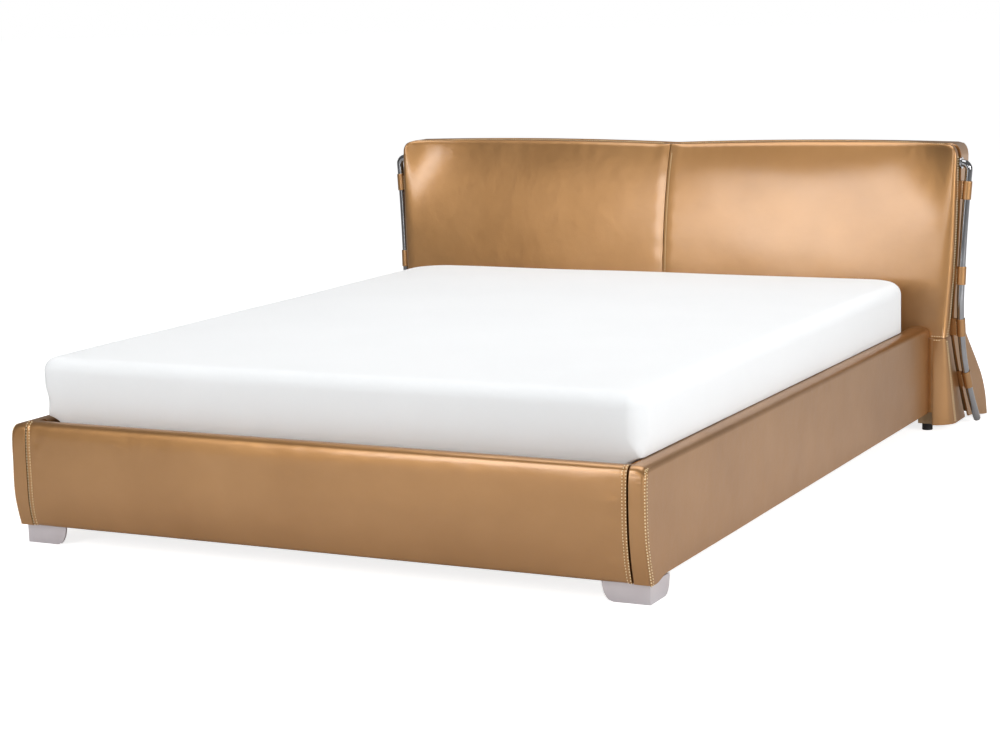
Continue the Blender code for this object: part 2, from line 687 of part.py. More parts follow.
def make_posts_and_rails():
    rear_margin = SHELL_THICK + 2 * CLEAR
    post_inner = POST_SIDE - POST_WIDTH
    foot_front = HEAD_FRONT + BOTTOM_RAIL_THICK + CLEAR
    low = HEM_LIFT + CLEAR
    waist = HEAD_WAIST - CLEAR
    top_front = back_y(post_inner / side_x(POST_TOP), POST_TOP) + POST_HEAD_MARGIN
    waist_front = back_y(POST_SIDE / side_x(waist), waist) + POST_HEAD_MARGIN
    rear_waist = shell_y(SHELL_WAIST_HEIGHT) - rear_margin
    rear_top = shell_y(POST_TOP) - rear_margin
    side_view = [(foot_front, low), (rear_waist, low), (rear_waist, SHELL_WAIST_HEIGHT),
                 (rear_top, POST_TOP), (top_front, POST_TOP), (waist_front, waist), (foot_front, waist)]
    for side_name, side in SIDES:
        name = "headboard_post_" + side_name
        ends = sorted((side * post_inner, side * POST_SIDE))
        add_piece(name, outline_mesh(name, [side_view], *ends, ALONG_X), "board")
        foot = "rear_foot_" + side_name
        height = low - CLEAR
        place = Matrix.Translation((side * (POST_SIDE - POST_WIDTH / 2), foot_front + REAR_FOOT_RADIUS, 0.0))
        profile = [(0.0, height), (REAR_FOOT_RADIUS, height), (REAR_FOOT_RADIUS, 0.0), (0.0, 0.0)]
        turned(foot, profile, REAR_FOOT_STEPS, place, "black")
    box("headboard_bottom_rail", (-POST_SIDE, HEAD_FRONT, RAIL_LIFT),
        (POST_SIDE, HEAD_FRONT + BOTTOM_RAIL_THICK, waist), "board")
    rail_front = back_y(0.0, TOP_RAIL_HIGH) + TOP_RAIL_MARGIN
    box("headboard_top_rail", (CLEAR - post_inner, rail_front, TOP_RAIL_LOW),
        (post_inner - CLEAR, rail_front + TOP_RAIL_THICK, TOP_RAIL_HIGH), "board")


# Side tubes


def tube_x(z):
    """Distance of the tube from the middle of the bed: least at the waist, as a smooth bow."""
    end = HEM_LIFT if z < HEAD_WAIST else TUBE_BEND_START
    bow = ((z - HEAD_WAIST) / (end - HEAD_WAIST)) ** 2
    return TUBE_STANDOFF + side_x(HEAD_WAIST) + (side_x(end) - side_x(HEAD_WAIST)) * bow


def make_tube(side_name, side):
    name = "side_tube_" + side_name
    points = []
    for share in spread(TUBE_STEPS):
        z = TUBE_LOW + share * (TUBE_BEND_START - TUBE_LOW)
        points.append(Vector((side * tube_x(z), gap_y(z), z)))
    y = gap_y(TUBE_BEND_START)
    centre = (tube_x(TUBE_BEND_START) - TUBE_BEND_RADIUS, TUBE_BEND_START)
    radii = (TUBE_BEND_RADIUS, TUBE_BEND_RADIUS)
    for x, z in arc(centre, radii, 0, 90, TUBE_BEND_STEPS)[1:]:
        points.append(Vector((side * x, y, z)))
    socket_z = TUBE_BEND_START + TUBE_BEND_RADIUS
    socket_x = side_x(socket_z) + SHELL_PROUD + CLEAR
    curve = bpy.data.curves.new(name, "CURVE")
    curve.dimensions = "3D"
    curve.bevel_depth = TUBE_RADIUS
    curve.bevel_resolution = 2
    curve.use_fill_caps = True
    curve.materials.append(finish(name, *LOOKS["chrome"]))
    spline = curve.splines.new("POLY")
    points.append(Vector((side * socket_x, y, socket_z)))
    spline.points.add(len(points) - 1)
    for point, place in zip(spline.points, points):
        point.co = (*place, 1.0)
    tube = bpy.data.objects.new(name, curve)
    PIECES.objects.link(tube)
    bore = TUBE_RADIUS + 2 * CLEAR
    rim = TUBE_RADIUS + SOCKET_WALL
    profile = [(rim, SOCKET_LENGTH), (rim, 0.0), (bore, 0.0), (bore, SOCKET_LENGTH)]
    place = Matrix.Translation((side * socket_x, y, socket_z))
    turn = Matrix.Rotation(side * math.pi / 2, 4, "Y")
    turned("tube_socket_" + side_name, profile, SOCKET_STEPS, place @ turn, "chrome")


def make_loop(name, side, level):
    """A leather loop round the tube, with its tab tucked into the side gap."""
    bore = TUBE_RADIUS + LOOP_SLACK
    outer = bore + LOOP_LEATHER
    tab = math.degrees(math.asin(LOOP_TAB / 2 / outer))
    ring = arc((0.0, 0.0), (outer, outer), -180 + tab, 180 - tab, LOOP_STEPS)
    reach = TUBE_STANDOFF + LOOP_TUCK
    ring += [(-reach, LOOP_TAB / 2), (-reach, -LOOP_TAB / 2)]
    hole = arc((0.0, 0.0), (bore, bore), 0, 360, LOOP_STEPS)[:-1]
    plans = [[(side * x, y) for x, y in points] for points in (ring, hole)]
    mesh = outline_mesh(name, plans, -LOOP_HEIGHT / 2, LOOP_HEIGHT / 2, ALONG_Z)
    loop = add_piece(name, mesh, "leather")
    below = level - LOOP_HEIGHT / 2
    above = level + LOOP_HEIGHT / 2
    run = Vector((side * (tube_x(above) - tube_x(below)), gap_y(above) - gap_y(below), LOOP_HEIGHT))
    turn = Vector((0.0, 0.0, 1.0)).rotation_difference(run).to_matrix().to_4x4()
    middle = Vector((tube_x(above) + tube_x(below), gap_y(above) + gap_y(below))) / 2
    loop.matrix_world = Matrix.Translation((side * middle.x, middle.y, level)) @ turn


# Pedestal and deck


def make_base():
    front = FOOT_BACK + PEDESTAL_INSET
    rear = HEAD_FRONT - PEDESTAL_INSET
    inner = PEDESTAL_HALF - PEDESTAL_BOARD
    for side_name, side in SIDES:
        ends = sorted((side * inner, side * PEDESTAL_HALF))
        box("pedestal_board_" + side_name, (ends[0], front, 0.0), (ends[1], rear, PEDESTAL_HEIGHT), "board")
        deck_ends = sorted((side * CLEAR, side * (RAIL_INNER - CLEAR)))
        box("deck_panel_" + side_name, (deck_ends[0], FOOT_BACK + CLEAR, DECK_LOW),
            (deck_ends[1], HEAD_FRONT - CLEAR, DECK_TOP), "board")
    reach = inner - CLEAR
    for name, start in (("foot", front), ("head", rear - PEDESTAL_BOARD)):
        box("pedestal_board_" + name, (-reach, start, 0.0),
            (reach, start + PEDESTAL_BOARD, PEDESTAL_HEIGHT), "board")
    half = PEDESTAL_BOARD / 2
    box("pedestal_board_middle", (-half, front + PEDESTAL_BOARD + CLEAR, 0.0),
        (half, rear - PEDESTAL_BOARD - CLEAR, PEDESTAL_HEIGHT), "board")


# Water mattress


def slab_bmesh(half, corner, low, high):
    """An upright slab with rounded corners in plan, centred on the mattress."""
    bm = bmesh.new()
    bmesh.ops.create_cube(bm, size=2.0)
    for vertex in bm.verts:
        vertex.co.x *= half.x
        vertex.co.y *= half.y
        vertex.co.z = low if vertex.co.z < 0 else high
    upright = [e for e in bm.edges if abs(e.verts[0].co.z - e.verts[1].co.z) > (high - low) / 2]
    bmesh.ops.bevel(bm, geom=upright, offset=corner, segments=CORNER_STEPS, profile=0.5, affect="EDGES")
    return bm


def slab_mesh(name, half, corner, low, high):
    bm = slab_bmesh(half, corner, low, high)
    bmesh.ops.translate(bm, vec=(0.0, MATTRESS_MIDDLE, 0.0), verts=bm.verts)
    return to_mesh(bm, name)


def look_up(value, places, values):
    """Straight-line value between the points of two matching tables."""
    for low, high, first, second in zip(places, places[1:], values, values[1:]):
        if value <= high:
            return first + (second - first) * (value - low) / (high - low)
    return values[-1]


def make_top_cover():
    """White cover: drawn in at the zip, full at the sides, rounded shoulders and a crowned top."""
    height = MATTRESS_TOP - MATTRESS_LOW
    bm = slab_bmesh(MATTRESS_HALF, MATTRESS_CORNER, MATTRESS_LOW, MATTRESS_TOP)
    slice_across(bm, 2, [MATTRESS_LOW + share * height for share in MATTRESS_HEIGHT_SHARES[1:-1]])
    slice_across(bm, 0, [share * MATTRESS_HALF.x for share in MATTRESS_GRID_SHARES])
    slice_across(bm, 1, [share * MATTRESS_HALF.y for share in MATTRESS_GRID_SHARES])
    for vertex in bm.verts:
        share = (vertex.co.z - MATTRESS_LOW) / height
        inset = MATTRESS_TUCK * look_up(share, MATTRESS_HEIGHT_SHARES, MATTRESS_TUCK_SHARES)
        inset += MATTRESS_SHOULDER * look_up(share, MATTRESS_HEIGHT_SHARES, MATTRESS_SHOULDER_SHARES)
        u = vertex.co.x / MATTRESS_HALF.x
        v = vertex.co.y / MATTRESS_HALF.y
        vertex.co.x = u * (MATTRESS_HALF.x - inset)
        vertex.co.y = v * (MATTRESS_HALF.y - inset)
        if vertex.co.z > MATTRESS_TOP - CLEAR:
            vertex.co.z += MATTRESS_CROWN * (1 - u ** 2) * (1 - v ** 2)
    bmesh.ops.translate(bm, vec=(0.0, MATTRESS_MIDDLE, 0.0), verts=bm.verts)
    cover = add_piece("mattress_top_cover", to_mesh(bm, "mattress_top_cover"), "white_cloth")
    corner = MATTRESS_CORNER - COVER_WALL
    room = slab_mesh("cover_room", CAVITY_HALF, corner, MATTRESS_LOW - OVERRUN, CAVITY_TOP)
    boolean(cover, add_cutter("cover_room", room))


def make_mattress_inside():
    corner = MATTRESS_CORNER - COVER_WALL
    base = slab_mesh("mattress_base_cover", ZIP_HALF, MATTRESS_CORNER, BASE_LOW, ZIP_HEIGHT)
    base_cover = add_piece("mattress_base_cover", base, "white_cloth")
    tray = slab_mesh("base_room", CAVITY_HALF, corner, BASE_TOP, ZIP_HEIGHT + OVERRUN)
    boolean(base_cover, add_cutter("base_room", tray))

    foam_low = BASE_TOP + CLEAR
    foam = slab_mesh("foam_frame", FOAM_HALF, corner, foam_low, FOAM_TOP)
    frame = add_piece("foam_frame", foam, "foam")
    pocket = slab_mesh("foam_pocket", POCKET_HALF, POCKET_CORNER, foam_low - OVERRUN, FOAM_TOP + OVERRUN)
    boolean(frame, add_cutter("foam_pocket", pocket))

    y = MATTRESS_MIDDLE - HEATER_SHIFT
    box("heater_pad", (-HEATER_WIDTH / 2, y, foam_low),
        (HEATER_WIDTH / 2, y + HEATER_LENGTH, foam_low + HEATER_THICK), "heater")

    gap = Vector((CLEAR, CLEAR))
    wall = Vector((LINER_THICK, LINER_THICK))
    liner_half = POCKET_HALF - gap
    liner_mesh = slab_mesh("safety_liner", liner_half, POCKET_CORNER, LINER_LOW, FOAM_TOP - LINER_THICK)
    liner = add_piece("safety_liner", liner_mesh, "liner")
    room = slab_mesh("liner_room", liner_half - wall, POCKET_CORNER - LINER_THICK,
                     LINER_LOW + LINER_THICK, FOAM_TOP + OVERRUN)
    boolean(liner, add_cutter("liner_room", room))

    core_half = liner_half - wall - gap
    core_mesh = slab_mesh("water_core", core_half, POCKET_CORNER - LINER_THICK, CORE_LOW, CORE_TOP)
    core = add_piece("water_core", core_mesh, "vinyl")
    bevel(core, CORE_ROUND, 3, math.radians(60))
    cap_x = CAP_INSET - core_half.x
    cap_y = MATTRESS_MIDDLE + core_half.y - CAP_SETBACK
    place = Matrix.Translation((cap_x, cap_y, CORE_TOP))
    neck_profile = [(0.0, NECK_HEIGHT), (NECK_RADIUS, NECK_HEIGHT), (NECK_RADIUS, -CORE_ROUND),
                    (0.0, -CORE_ROUND)]
    neck = turned("core_neck", neck_profile, CAP_STEPS, place)
    boolean(core, neck, "UNION")
    bore = NECK_RADIUS + CLEAR
    cap_profile = [(0.0, CAP_HEIGHT), (CAP_RADIUS, CAP_HEIGHT), (CAP_RADIUS, CLEAR), (bore, CLEAR),
                   (bore, CAP_HEIGHT - CAP_TOP), (0.0, CAP_HEIGHT - CAP_TOP)]
    turned("valve_cap", cap_profile, CAP_STEPS, place, "black")

    x = ZIP_HALF.x + CLEAR
    start = MATTRESS_MIDDLE + ZIP_HALF.y - MATTRESS_CORNER - SLIDER_LENGTH
    slider = box("zip_slider", (x, start, ZIP_HEIGHT - SLIDER_HEIGHT / 2),
                 (x + SLIDER_THICK, start + SLIDER_LENGTH, ZIP_HEIGHT + SLIDER_HEIGHT / 2), "steel")
    bevel(slider, SLIDER_ROUND)


# Heater control


def make_control():
    """Housing, circuit board, dial and rocker switch on the right pedestal board."""
    back = PEDESTAL_HALF + CLEAR
    face = back + CONTROL_DEPTH
    y = MATTRESS_MIDDLE + CONTROL_SHIFT
    low = Vector((back, y - CONTROL_WIDTH / 2, CONTROL_LIFT))
    high = Vector((face, y + CONTROL_WIDTH / 2, CONTROL_LIFT + CONTROL_HEIGHT))
    wall = Vector((CONTROL_WALL, CONTROL_WALL, CONTROL_WALL))
    housing = box("control_housing", low, high, "black")
    bevel(housing, CONTROL_ROUND, 2)
    room_low = low + wall
    room_low.x = low.x - OVERRUN
    room = add_cutter("control_room", box_mesh("control_room", room_low, high - wall))
    boolean(housing, room)

    gap = Vector((0.0, CLEAR, CLEAR))
    board_low = low + wall + gap
    board_high = high - wall - gap
    board_low.x = low.x + CIRCUIT_SETBACK
    board_high.x = board_low.x + CIRCUIT_THICK
    box("circuit_board", board_low, board_high, "circuit")

    middle_z = CONTROL_LIFT + CONTROL_HEIGHT / 2
    along_x = Matrix.Rotation(math.pi / 2, 4, "Y")
    place = Matrix.Translation((face + CLEAR, y - DIAL_SHIFT, middle_z)) @ along_x
    profile = [(0.0, DIAL_HEIGHT), (DIAL_TOP_RADIUS, DIAL_HEIGHT), (DIAL_RADIUS, 0.0), (DIAL_SHAFT, 0.0),
               (DIAL_SHAFT, -DIAL_SHAFT_LENGTH), (0.0, -DIAL_SHAFT_LENGTH)]
    dial = turned("temperature_dial", profile, DIAL_STEPS, place, "dial")
    ridge_low = (face + DIAL_HEIGHT / 2, y - DIAL_SHIFT - POINTER_WIDTH / 2, middle_z)
    ridge_high = (face + DIAL_HEIGHT + POINTER_HEIGHT, y - DIAL_SHIFT + POINTER_WIDTH / 2,
                  middle_z + POINTER_REACH)
    ridge = add_cutter("dial_pointer", box_mesh("dial_pointer", ridge_low, ridge_high))
    boolean(dial, ridge, "UNION")
    shaft_hole = [(0.0, OVERRUN), (DIAL_SHAFT + CLEAR, OVERRUN), (DIAL_SHAFT + CLEAR, -CIRCUIT_SETBACK),
                  (0.0, -CIRCUIT_SETBACK)]
    boolean(housing, turned("shaft_hole", shaft_hole, DIAL_STEPS, place))

    rocker_y = y + ROCKER_SHIFT
    half = Vector((ROCKER_THICK, ROCKER_LENGTH, ROCKER_WIDTH)) / 2
    rocker_mesh = box_mesh("power_rocker", -half, half)
    rocker = add_piece("power_rocker", rocker_mesh, "dial")
    bevel(rocker, ROCKER_SLACK)
    rocker_x = face + ROCKER_PROUD - ROCKER_THICK / 2
    rocker.matrix_world = Matrix.Translation((rocker_x, rocker_y, middle_z)) @ (
        Matrix.Rotation(-ROCKER_TILT, 4, "Z"))
    slack = Vector((OVERRUN, ROCKER_SLACK, ROCKER_SLACK))
    centre = Vector((rocker_x, rocker_y, middle_z))
    window_low = centre - half - slack
    window_low.x = face - CONTROL_WALL * 2
    window = box_mesh("rocker_window", window_low, centre + half + slack)
    boolean(housing, add_cutter("rocker_window", window))

    slot_half = Vector((LEAD_SLOT_WIDTH, LEAD_SLOT_LENGTH, OVERRUN)) / 2
    slot_at = Vector((back + CONTROL_DEPTH / 2, y, CONTROL_LIFT))
    slot = box_mesh("lead_slot", slot_at - slot_half, slot_at + slot_half)
    boolean(housing, add_cutter("lead_slot", slot))


def main():
    make_footboard()
    for side_name, side in SIDES:
        make_front_foot(side_name, side)
        cover, board = make_rail(side_name, side)
        make_corner("front_" + side_name, side, 1, cover, board)
        make_corner("rear_" + side_name, side, -1, cover, board)
        make_cushion(side_name, side)
        make_side_panel(side_name, side)
        make_tube(side_name, side)
        for number, share in enumerate(LOOP_LEVEL_SHARES):
            level = TUBE_LOW + share * (TUBE_BEND_START - TUBE_LOW)
            make_loop("tube_loop_%s_%d" % (side_name, number + 1), side, level)
    make_shell()
    make_posts_and_rails()
    make_base()
    make_top_cover()
    make_mattress_inside()
    make_control()


main()
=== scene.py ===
# Looks of the gold upholstered bed with its water mattress.
# Metres, +Z up, +Y from the foot to the head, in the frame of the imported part.
import math

import bmesh
import bpy
import numpy as np
from mathutils import Matrix, Vector
from mathutils.bvhtree import BVHTree


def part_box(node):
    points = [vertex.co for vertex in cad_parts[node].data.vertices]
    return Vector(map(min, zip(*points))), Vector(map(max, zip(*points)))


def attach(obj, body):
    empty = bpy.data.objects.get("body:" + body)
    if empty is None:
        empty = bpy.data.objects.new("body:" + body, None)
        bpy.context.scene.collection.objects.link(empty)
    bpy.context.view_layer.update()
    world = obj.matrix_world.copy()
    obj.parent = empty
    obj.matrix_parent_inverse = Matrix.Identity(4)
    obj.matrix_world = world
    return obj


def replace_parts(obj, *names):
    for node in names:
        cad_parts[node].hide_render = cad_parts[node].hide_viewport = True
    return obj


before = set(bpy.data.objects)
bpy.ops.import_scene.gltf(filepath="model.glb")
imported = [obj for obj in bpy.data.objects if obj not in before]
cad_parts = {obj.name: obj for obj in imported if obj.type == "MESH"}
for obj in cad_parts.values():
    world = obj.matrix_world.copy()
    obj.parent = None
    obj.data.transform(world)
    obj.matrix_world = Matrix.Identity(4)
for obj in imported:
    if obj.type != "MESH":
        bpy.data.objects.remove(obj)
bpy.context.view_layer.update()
SIDES = (("left", -1), ("right", 1))
CLEAR = 0.0003
MERGE = 0.00001
SHARP_ANGLE = math.radians(52)
ROUND_STEPS = 12

# Camera, as measured from the photograph's vanishing points
CAMERA_PLACE = (2.84503, -5.80726, 1.37203)
CAMERA_RIGHT = (0.89267, 0.44986, -0.02769)
CAMERA_DOWN = (0.05038, -0.16064, -0.98573)
LENS = 82.889
SENSOR = 36.0

# Light
WHITE = (1.0, 1.0, 1.0, 1.0)
FLOOR_TONE = (0.80, 0.80, 0.80, 1.0)
FLOOR_REACH = 60.0
# Floor emission: an even white to the camera; to reflections only, a painted reflection that grows
# behind the bed
FLOOR_GLOW = (0.80, 0.08)
BACK_START, BACK_END = 2.5, 6.5
PAINTED_BACK_REFLECTION = 0.6
WORLD_TOWARD = (-0.16, 0.33, 0.93)
WORLD_LEVELS = (0.07, 0.30)
# Name, place, aim, size and power of each
LAMPS = (
    ("overhead", (0.0, 0.2, 4.4), (0.0, 0.1, 0.0), (3.6, 4.2), 128),
    ("left_box", (-1.85, -5.6, 2.65), (0.0, 0.0, 0.6), (1.4, 3.2), 106),
    ("low_box", (-1.2, -5.6, 0.8), (0.0, 0.0, 0.5), (0.8, 0.8), 8),
    ("back_wall", (3.2, 9.0, 2.0), (0.0, 0.0, 0.5), (8.0, 4.0), 45),
    ("front_fill", (3.2, -7.5, 2.4), (0.0, -1.2, 0.4), (2.0, 2.0), 64),
    ("right_box", (5.4, -1.3, 1.9), (0.7, 0.2, 0.4), (2.4, 2.2), 148),
)

# Places read from the frame
FOOT_LOW, FOOT_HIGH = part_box("footboard_cover")
RAIL_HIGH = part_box("side_rail_cover_right")[1]
HALF_WIDTH = RAIL_HIGH.x
FRONT = FOOT_LOW.y
FOOT_BACK = FOOT_HIGH.y
RAIL_END = RAIL_HIGH.y
RAIL_TOP = RAIL_HIGH.z
RAIL_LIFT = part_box("side_rail_board_right")[0].z
HEAD_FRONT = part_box("headboard_bottom_rail")[0].y

# Footboard and rails
BELLY = 0.031
BELLY_STEPS = 40
BELLY_PEAK_SHARE = 0.58
BROW_START = 0.60
BROW_RUN = 0.33
BROW_DEPTHS = (0.0022, 0.0028)
BROW_POWERS = (2, 6)
FOOTBOARD_FRONT_ROUND = 0.0193
FOOTBOARD_BACK_ROUND = 0.012
FOOTBOARD_TOP_FALL = 0.010
RAIL_THICK = 0.080
RAIL_CREST = 0.032
RAIL_OUTER_FALL = 0.0163
RAIL_INNER_FALL = 0.030
STRIP_WIDTH = 0.0455
STRIP_STEP = 0.0012
STRIP_RIDGE = 0.0015
STRIP_OUTER_ROUND = (0.003, 0.006)
STRIP_ROUND_RISE = (0.08, 0.26)
STRIP_INNER_ROUND = 0.0022
# Height, depth and size of the strip's tucks; then its stitch rows, inwards and backwards
STRIP_TUCKS = ((0.292, 0.0007, 0.002), (0.284, 0.00056, 0.0018), (0.274, 0.00042, 0.0022))
STRIP_ROWS = ((STRIP_RIDGE, 0.0), (0.0, 0.009))
TUCK_START, TUCK_END = (0.004, 0.009), (0.013, 0.026)
STRIP_TOP_RUN = 0.055
RAIL_END_ROUND = 0.010
STRIP_CAP_RUN = STRIP_TOP_RUN + 0.010
RAIL_HEAD_RUN = (0.01, 0.16)
RAIL_STEP = 0.012
RAIL_TAIL = 0.02
RAIL_UPPER_SHARE = 0.86
RAIL_LIFT_RUN = 0.03
RAIL_SINK = 0.0005
# By side: -1 is the left one, 1 the right one
RAIL_LEAN = {-1: 0.014, 1: 0.0}
RAIL_LEAN_LOW = 0.4
RAIL_LEAN_RISE = (0.06, 0.24)
RAIL_LEAN_RUN = (0.15, 0.7)
RAIL_SAG = {-1: 0.006, 1: 0.0}
SEAM_LEAN = {-1: 0.013, 1: -0.003}
SEAM_LEAN_RISE = (0.06, 0.20)
LEAN_RUN = 0.12
SEAM_INSET = 0.0046
SEAM_CALM = 0.02
RIDGE_HEIGHT, RIDGE_REACH = 0.0019, 0.0030
GROOVE_DEPTH, GROOVE_PLACE, GROOVE_REACH = 0.0010, 0.0058, 0.0016
BOARD_REACH = 0.0021
BOARD_END_ROUND = 0.0022
BOARD_OUTLINE_STEP = 0.0036
BOARD_STEP = 0.0045
BOARD_SINK = 0.0003
TUCK_BAND_DROP, TUCK_BAND_REACH = 0.026, 0.017
PULL_HEIGHT, PULL_INSET, PULL_REACH, PULL_PITCH = 0.0006, 0.035, 0.02, 0.012
ROW_GAP = 0.0042
BOARD_ROWS = (-1.4, 0.6)
FOOT_STEPS = 13
FOOT_TAPER = 0.028
FOOT_NOSE = 0.05
FOOT_EDGE = 0.0022

# Headboard
HEAD_WAIST = 0.2888
HEAD_TOP = 0.874
HEAD_ARCH = 0.010
HEAD_ARCH_PEAK_SHARE = 0.60
HEAD_CORNER_ROUND = 0.030
HEAD_SIDE_TOP = HALF_WIDTH + 0.068
HEAD_SIDE_WAIST = HALF_WIDTH + 0.0475
HEM_SIDE = HALF_WIDTH + 0.065
HEAD_SIDE_SWELL = 0.006
HEM_LIFT = 0.0203
HEM_SETBACK = 0.039
PAD_TURN = 0.006
LEAN = 0.0506
CURL = 0.056
SIDE_LEAN = 0.033
WING_POWER = 9
WING_ROLL_RUN = 0.036
WING_ROLL_DEPTH = 0.009
WING_ROLL_START = 0.1
BACK_POWER = 5
BACK_EDGE_SHARE = 0.975
CUSHION_THICK = 0.045
CUSHION_EDGE = 0.014
CUSHION_SEAM_EDGE = 0.0016
CUSHION_SEAM_RUN = 0.03
CUSHION_SINK = 0.0004
SEAM_HALF_GAP = 0.0003
SEAM_DEPTH = 0.0018
SEAM_REACH = 0.014
SEAM_PULL_HEIGHT, SEAM_PULL_PITCH = 0.0003, 0.011
SEAM_PULL_BAND, TOP_BAND = (0.012, 0.02), (0.03, 0.03)
GATHER_RISE, GATHER_INSET = (0.03, 0.035), (0.06, 0.07)
SEAM_ROW = 0.0085
SIDE_ROWS = (0.0125, 0.0205)
TOP_ROW = 0.013
PANEL_WIDTH = 0.05
PANEL_DEPTH = 0.08
PANEL_EDGE = 0.012
PANEL_INNER_EDGE = 0.001
PANEL_SINK = 0.0002
WRAP_WIDTH = 0.06
WRAP_DEPTH = 0.0022
WRAP_EDGE = 0.0008
GAP_WIDTH = 0.007
GAP_SETBACK = 0.058
GAP_LEAN = 0.020
GAP_BEND_HEIGHT = HEAD_WAIST + 0.1112
GAP_BEND_RUN = GAP_BEND_HEIGHT - HEM_LIFT
GAP_SWEEP = 0.130
GAP_POWER = 1.7
SHELL_THICK = 0.006
SHELL_PROUD = 0.004
SHELL_TOP_PROUD = 0.001
SHELL_WAIST_SETBACK = 0.134
SHELL_LEAN = 0.040
SHELL_FLARE = 0.217
SHELL_FLARE_HEIGHT = 0.360
SHELL_EDGE = 0.016
SHELL_DEPTH = 0.12
SHELL_SEAM_DROP = 0.06
SHELL_ROW = 0.006
SEAM_HALF = 0.92
HEM_HALF, HEM_ROW = 0.93, 0.012
WELT_HEIGHT = 0.0012
WELT_REACHES = (0.0022, 0.0025)
FOLD_BAND = (0.16, 0.12)
SIDE_FLARE_POWER = 1.3
SIDE_FLARE = 0.020
SHELL_HEM_DROP = 0.016
SIDE_FLARE_TOP = 0.52
SIDE_FLARE_RUN = 0.38

# Side tubes and loops
TUBE_RADIUS = 0.011
TUBE_STANDOFF = 0.029
TUBE_LOW = 0.012
TUBE_BEND_START = HEAD_TOP - 0.0805
TUBE_BEND_RADIUS = 0.020
TUBE_SIDES = 32
TUBE_EDGE = 0.0015
# How far along its edge the tube's end is drawn in, and by how much of it
TUBE_END = ((0.0, 1.0), (0.3, 0.3), (1.0, 0.0))
LOOP_HEIGHT = 0.055
LOOP_LEATHER = 0.002
LOOP_SLACK = 0.0008
LOOP_TAB = 0.0046
LOOP_TUCK = 0.012
LOOP_SLIT = 0.0001
LOOP_EDGE = 0.0006
LOOP_ROUND = 0.0008
LOOP_STEP = 0.004
LOOP_STEPS = 40
LOOP_LEVEL_SHARES = (0.921, 0.592, 0.3895, 0.1744)

# Mattress
# Steps along the two ends and along the two sides
PLAN_COUNTS = (64, 80)
LEAST_CORNER = 0.008
# Corner radii at the foot and at the head
MATTRESS_CORNERS = (0.042, 0.125)
SMALL_CORNERS = tuple(corner * 0.75 for corner in MATTRESS_CORNERS)
MATTRESS_LOW_CORNER = 0.012
LOW_CORNER_RISE = (RAIL_TOP - 0.005, RAIL_TOP + 0.05)
MATTRESS_SWELL = 0.0255
RAIL_ROOM = 0.003
RAIL_ROOM_RISE = 0.03
RAIL_ROOM_RUN = 0.03
# How the left foot corner is drawn in beside the rail
CORNER_DRAW = 0.022
CORNER_DRAW_RISE = (RAIL_TOP - 0.01, RAIL_TOP + 0.085)
CORNER_DRAW_RUN = (0.08, 0.40)
MATTRESS_TUCK = 0.026
MATTRESS_HEM = 0.003
MATTRESS_SHOULDER = 0.036
MATTRESS_CROWN = 0.007
MATTRESS_SHORT = 0.0068
COVER_WALL = 0.009
COVER_TOP_PAD = 0.025
COVER_TOP_GAP = 0.004
# Wall and floor of each tray
BASE_WALLS = (COVER_WALL, 0.010)
LINER_WALLS = (0.001, 0.001)
POCKET_CORNERS = (0.050, 0.050)
CORE_EDGE = 0.018
CORE_SINK, CORE_SIDE_SINK = 0.0009, 0.0004
WELD_HEIGHT, WELD_REACH = 0.0006, 0.004
NECK_ROOM = (0.03, 0.09)
# Radius and rise of the filler neck
NECK_PROFILE = ((0.036, -0.002), (0.0365, -0.0012), (0.036, -0.0006), (0.021, -0.0004),
                (0.019, 0.001), (0.019, 0.0084), (0.0184, 0.009))
HEATER_EDGE = 0.0007
HEATER_RIB = 0.00035
HEATER_RIB_SHARE = 0.25
HEATER_PITCH = 0.0125
HEATER_RIM = 0.02

# Thread: share of a stitch's length, width and height of its profile
STITCH_PITCH = 0.0076
STITCH_LENGTH = 0.0040
STITCH_SIDES = 6
STITCH_PROFILE = ((0.0, 0.3, -0.5), (0.18, 0.95, 0.35), (0.5, 1.0, 0.6), (0.82, 0.95, 0.35),
                  (1.0, 0.3, -0.5))
THREAD_RADIUS = 0.0014

# Mesh grids along a block's three sides: spacing, then finer runs at both ends
CUSHION_GRID = ((0.010, CUSHION_SEAM_EDGE, CUSHION_EDGE), (0.004, CUSHION_EDGE, CUSHION_EDGE),
                (0.010, CUSHION_SEAM_EDGE, CUSHION_EDGE))
PANEL_GRID = ((0.005, PANEL_INNER_EDGE, PANEL_EDGE), (0.005, PANEL_EDGE, PANEL_EDGE),
              (0.005, 0.002, 0.002))
WRAP_GRID = ((0.006, 0.002, 0.002), (0.001, 0.0005, 0.0005, 2), (0.008, 0.002, 0.002))
SHELL_GRID = ((0.016, SHELL_EDGE, SHELL_EDGE), (0.006, 0.004, SHELL_EDGE),
              (0.010, 0.004, SHELL_EDGE))
HEATER_GRID = ((0.004, 0.004, 0.004), (0.001, 0.0006, 0.0006, 2), (0.004, 0.004, 0.004))

# How far a skin has to turn towards a side for its relief to start and to be whole
FACING = (0.3, 0.9)

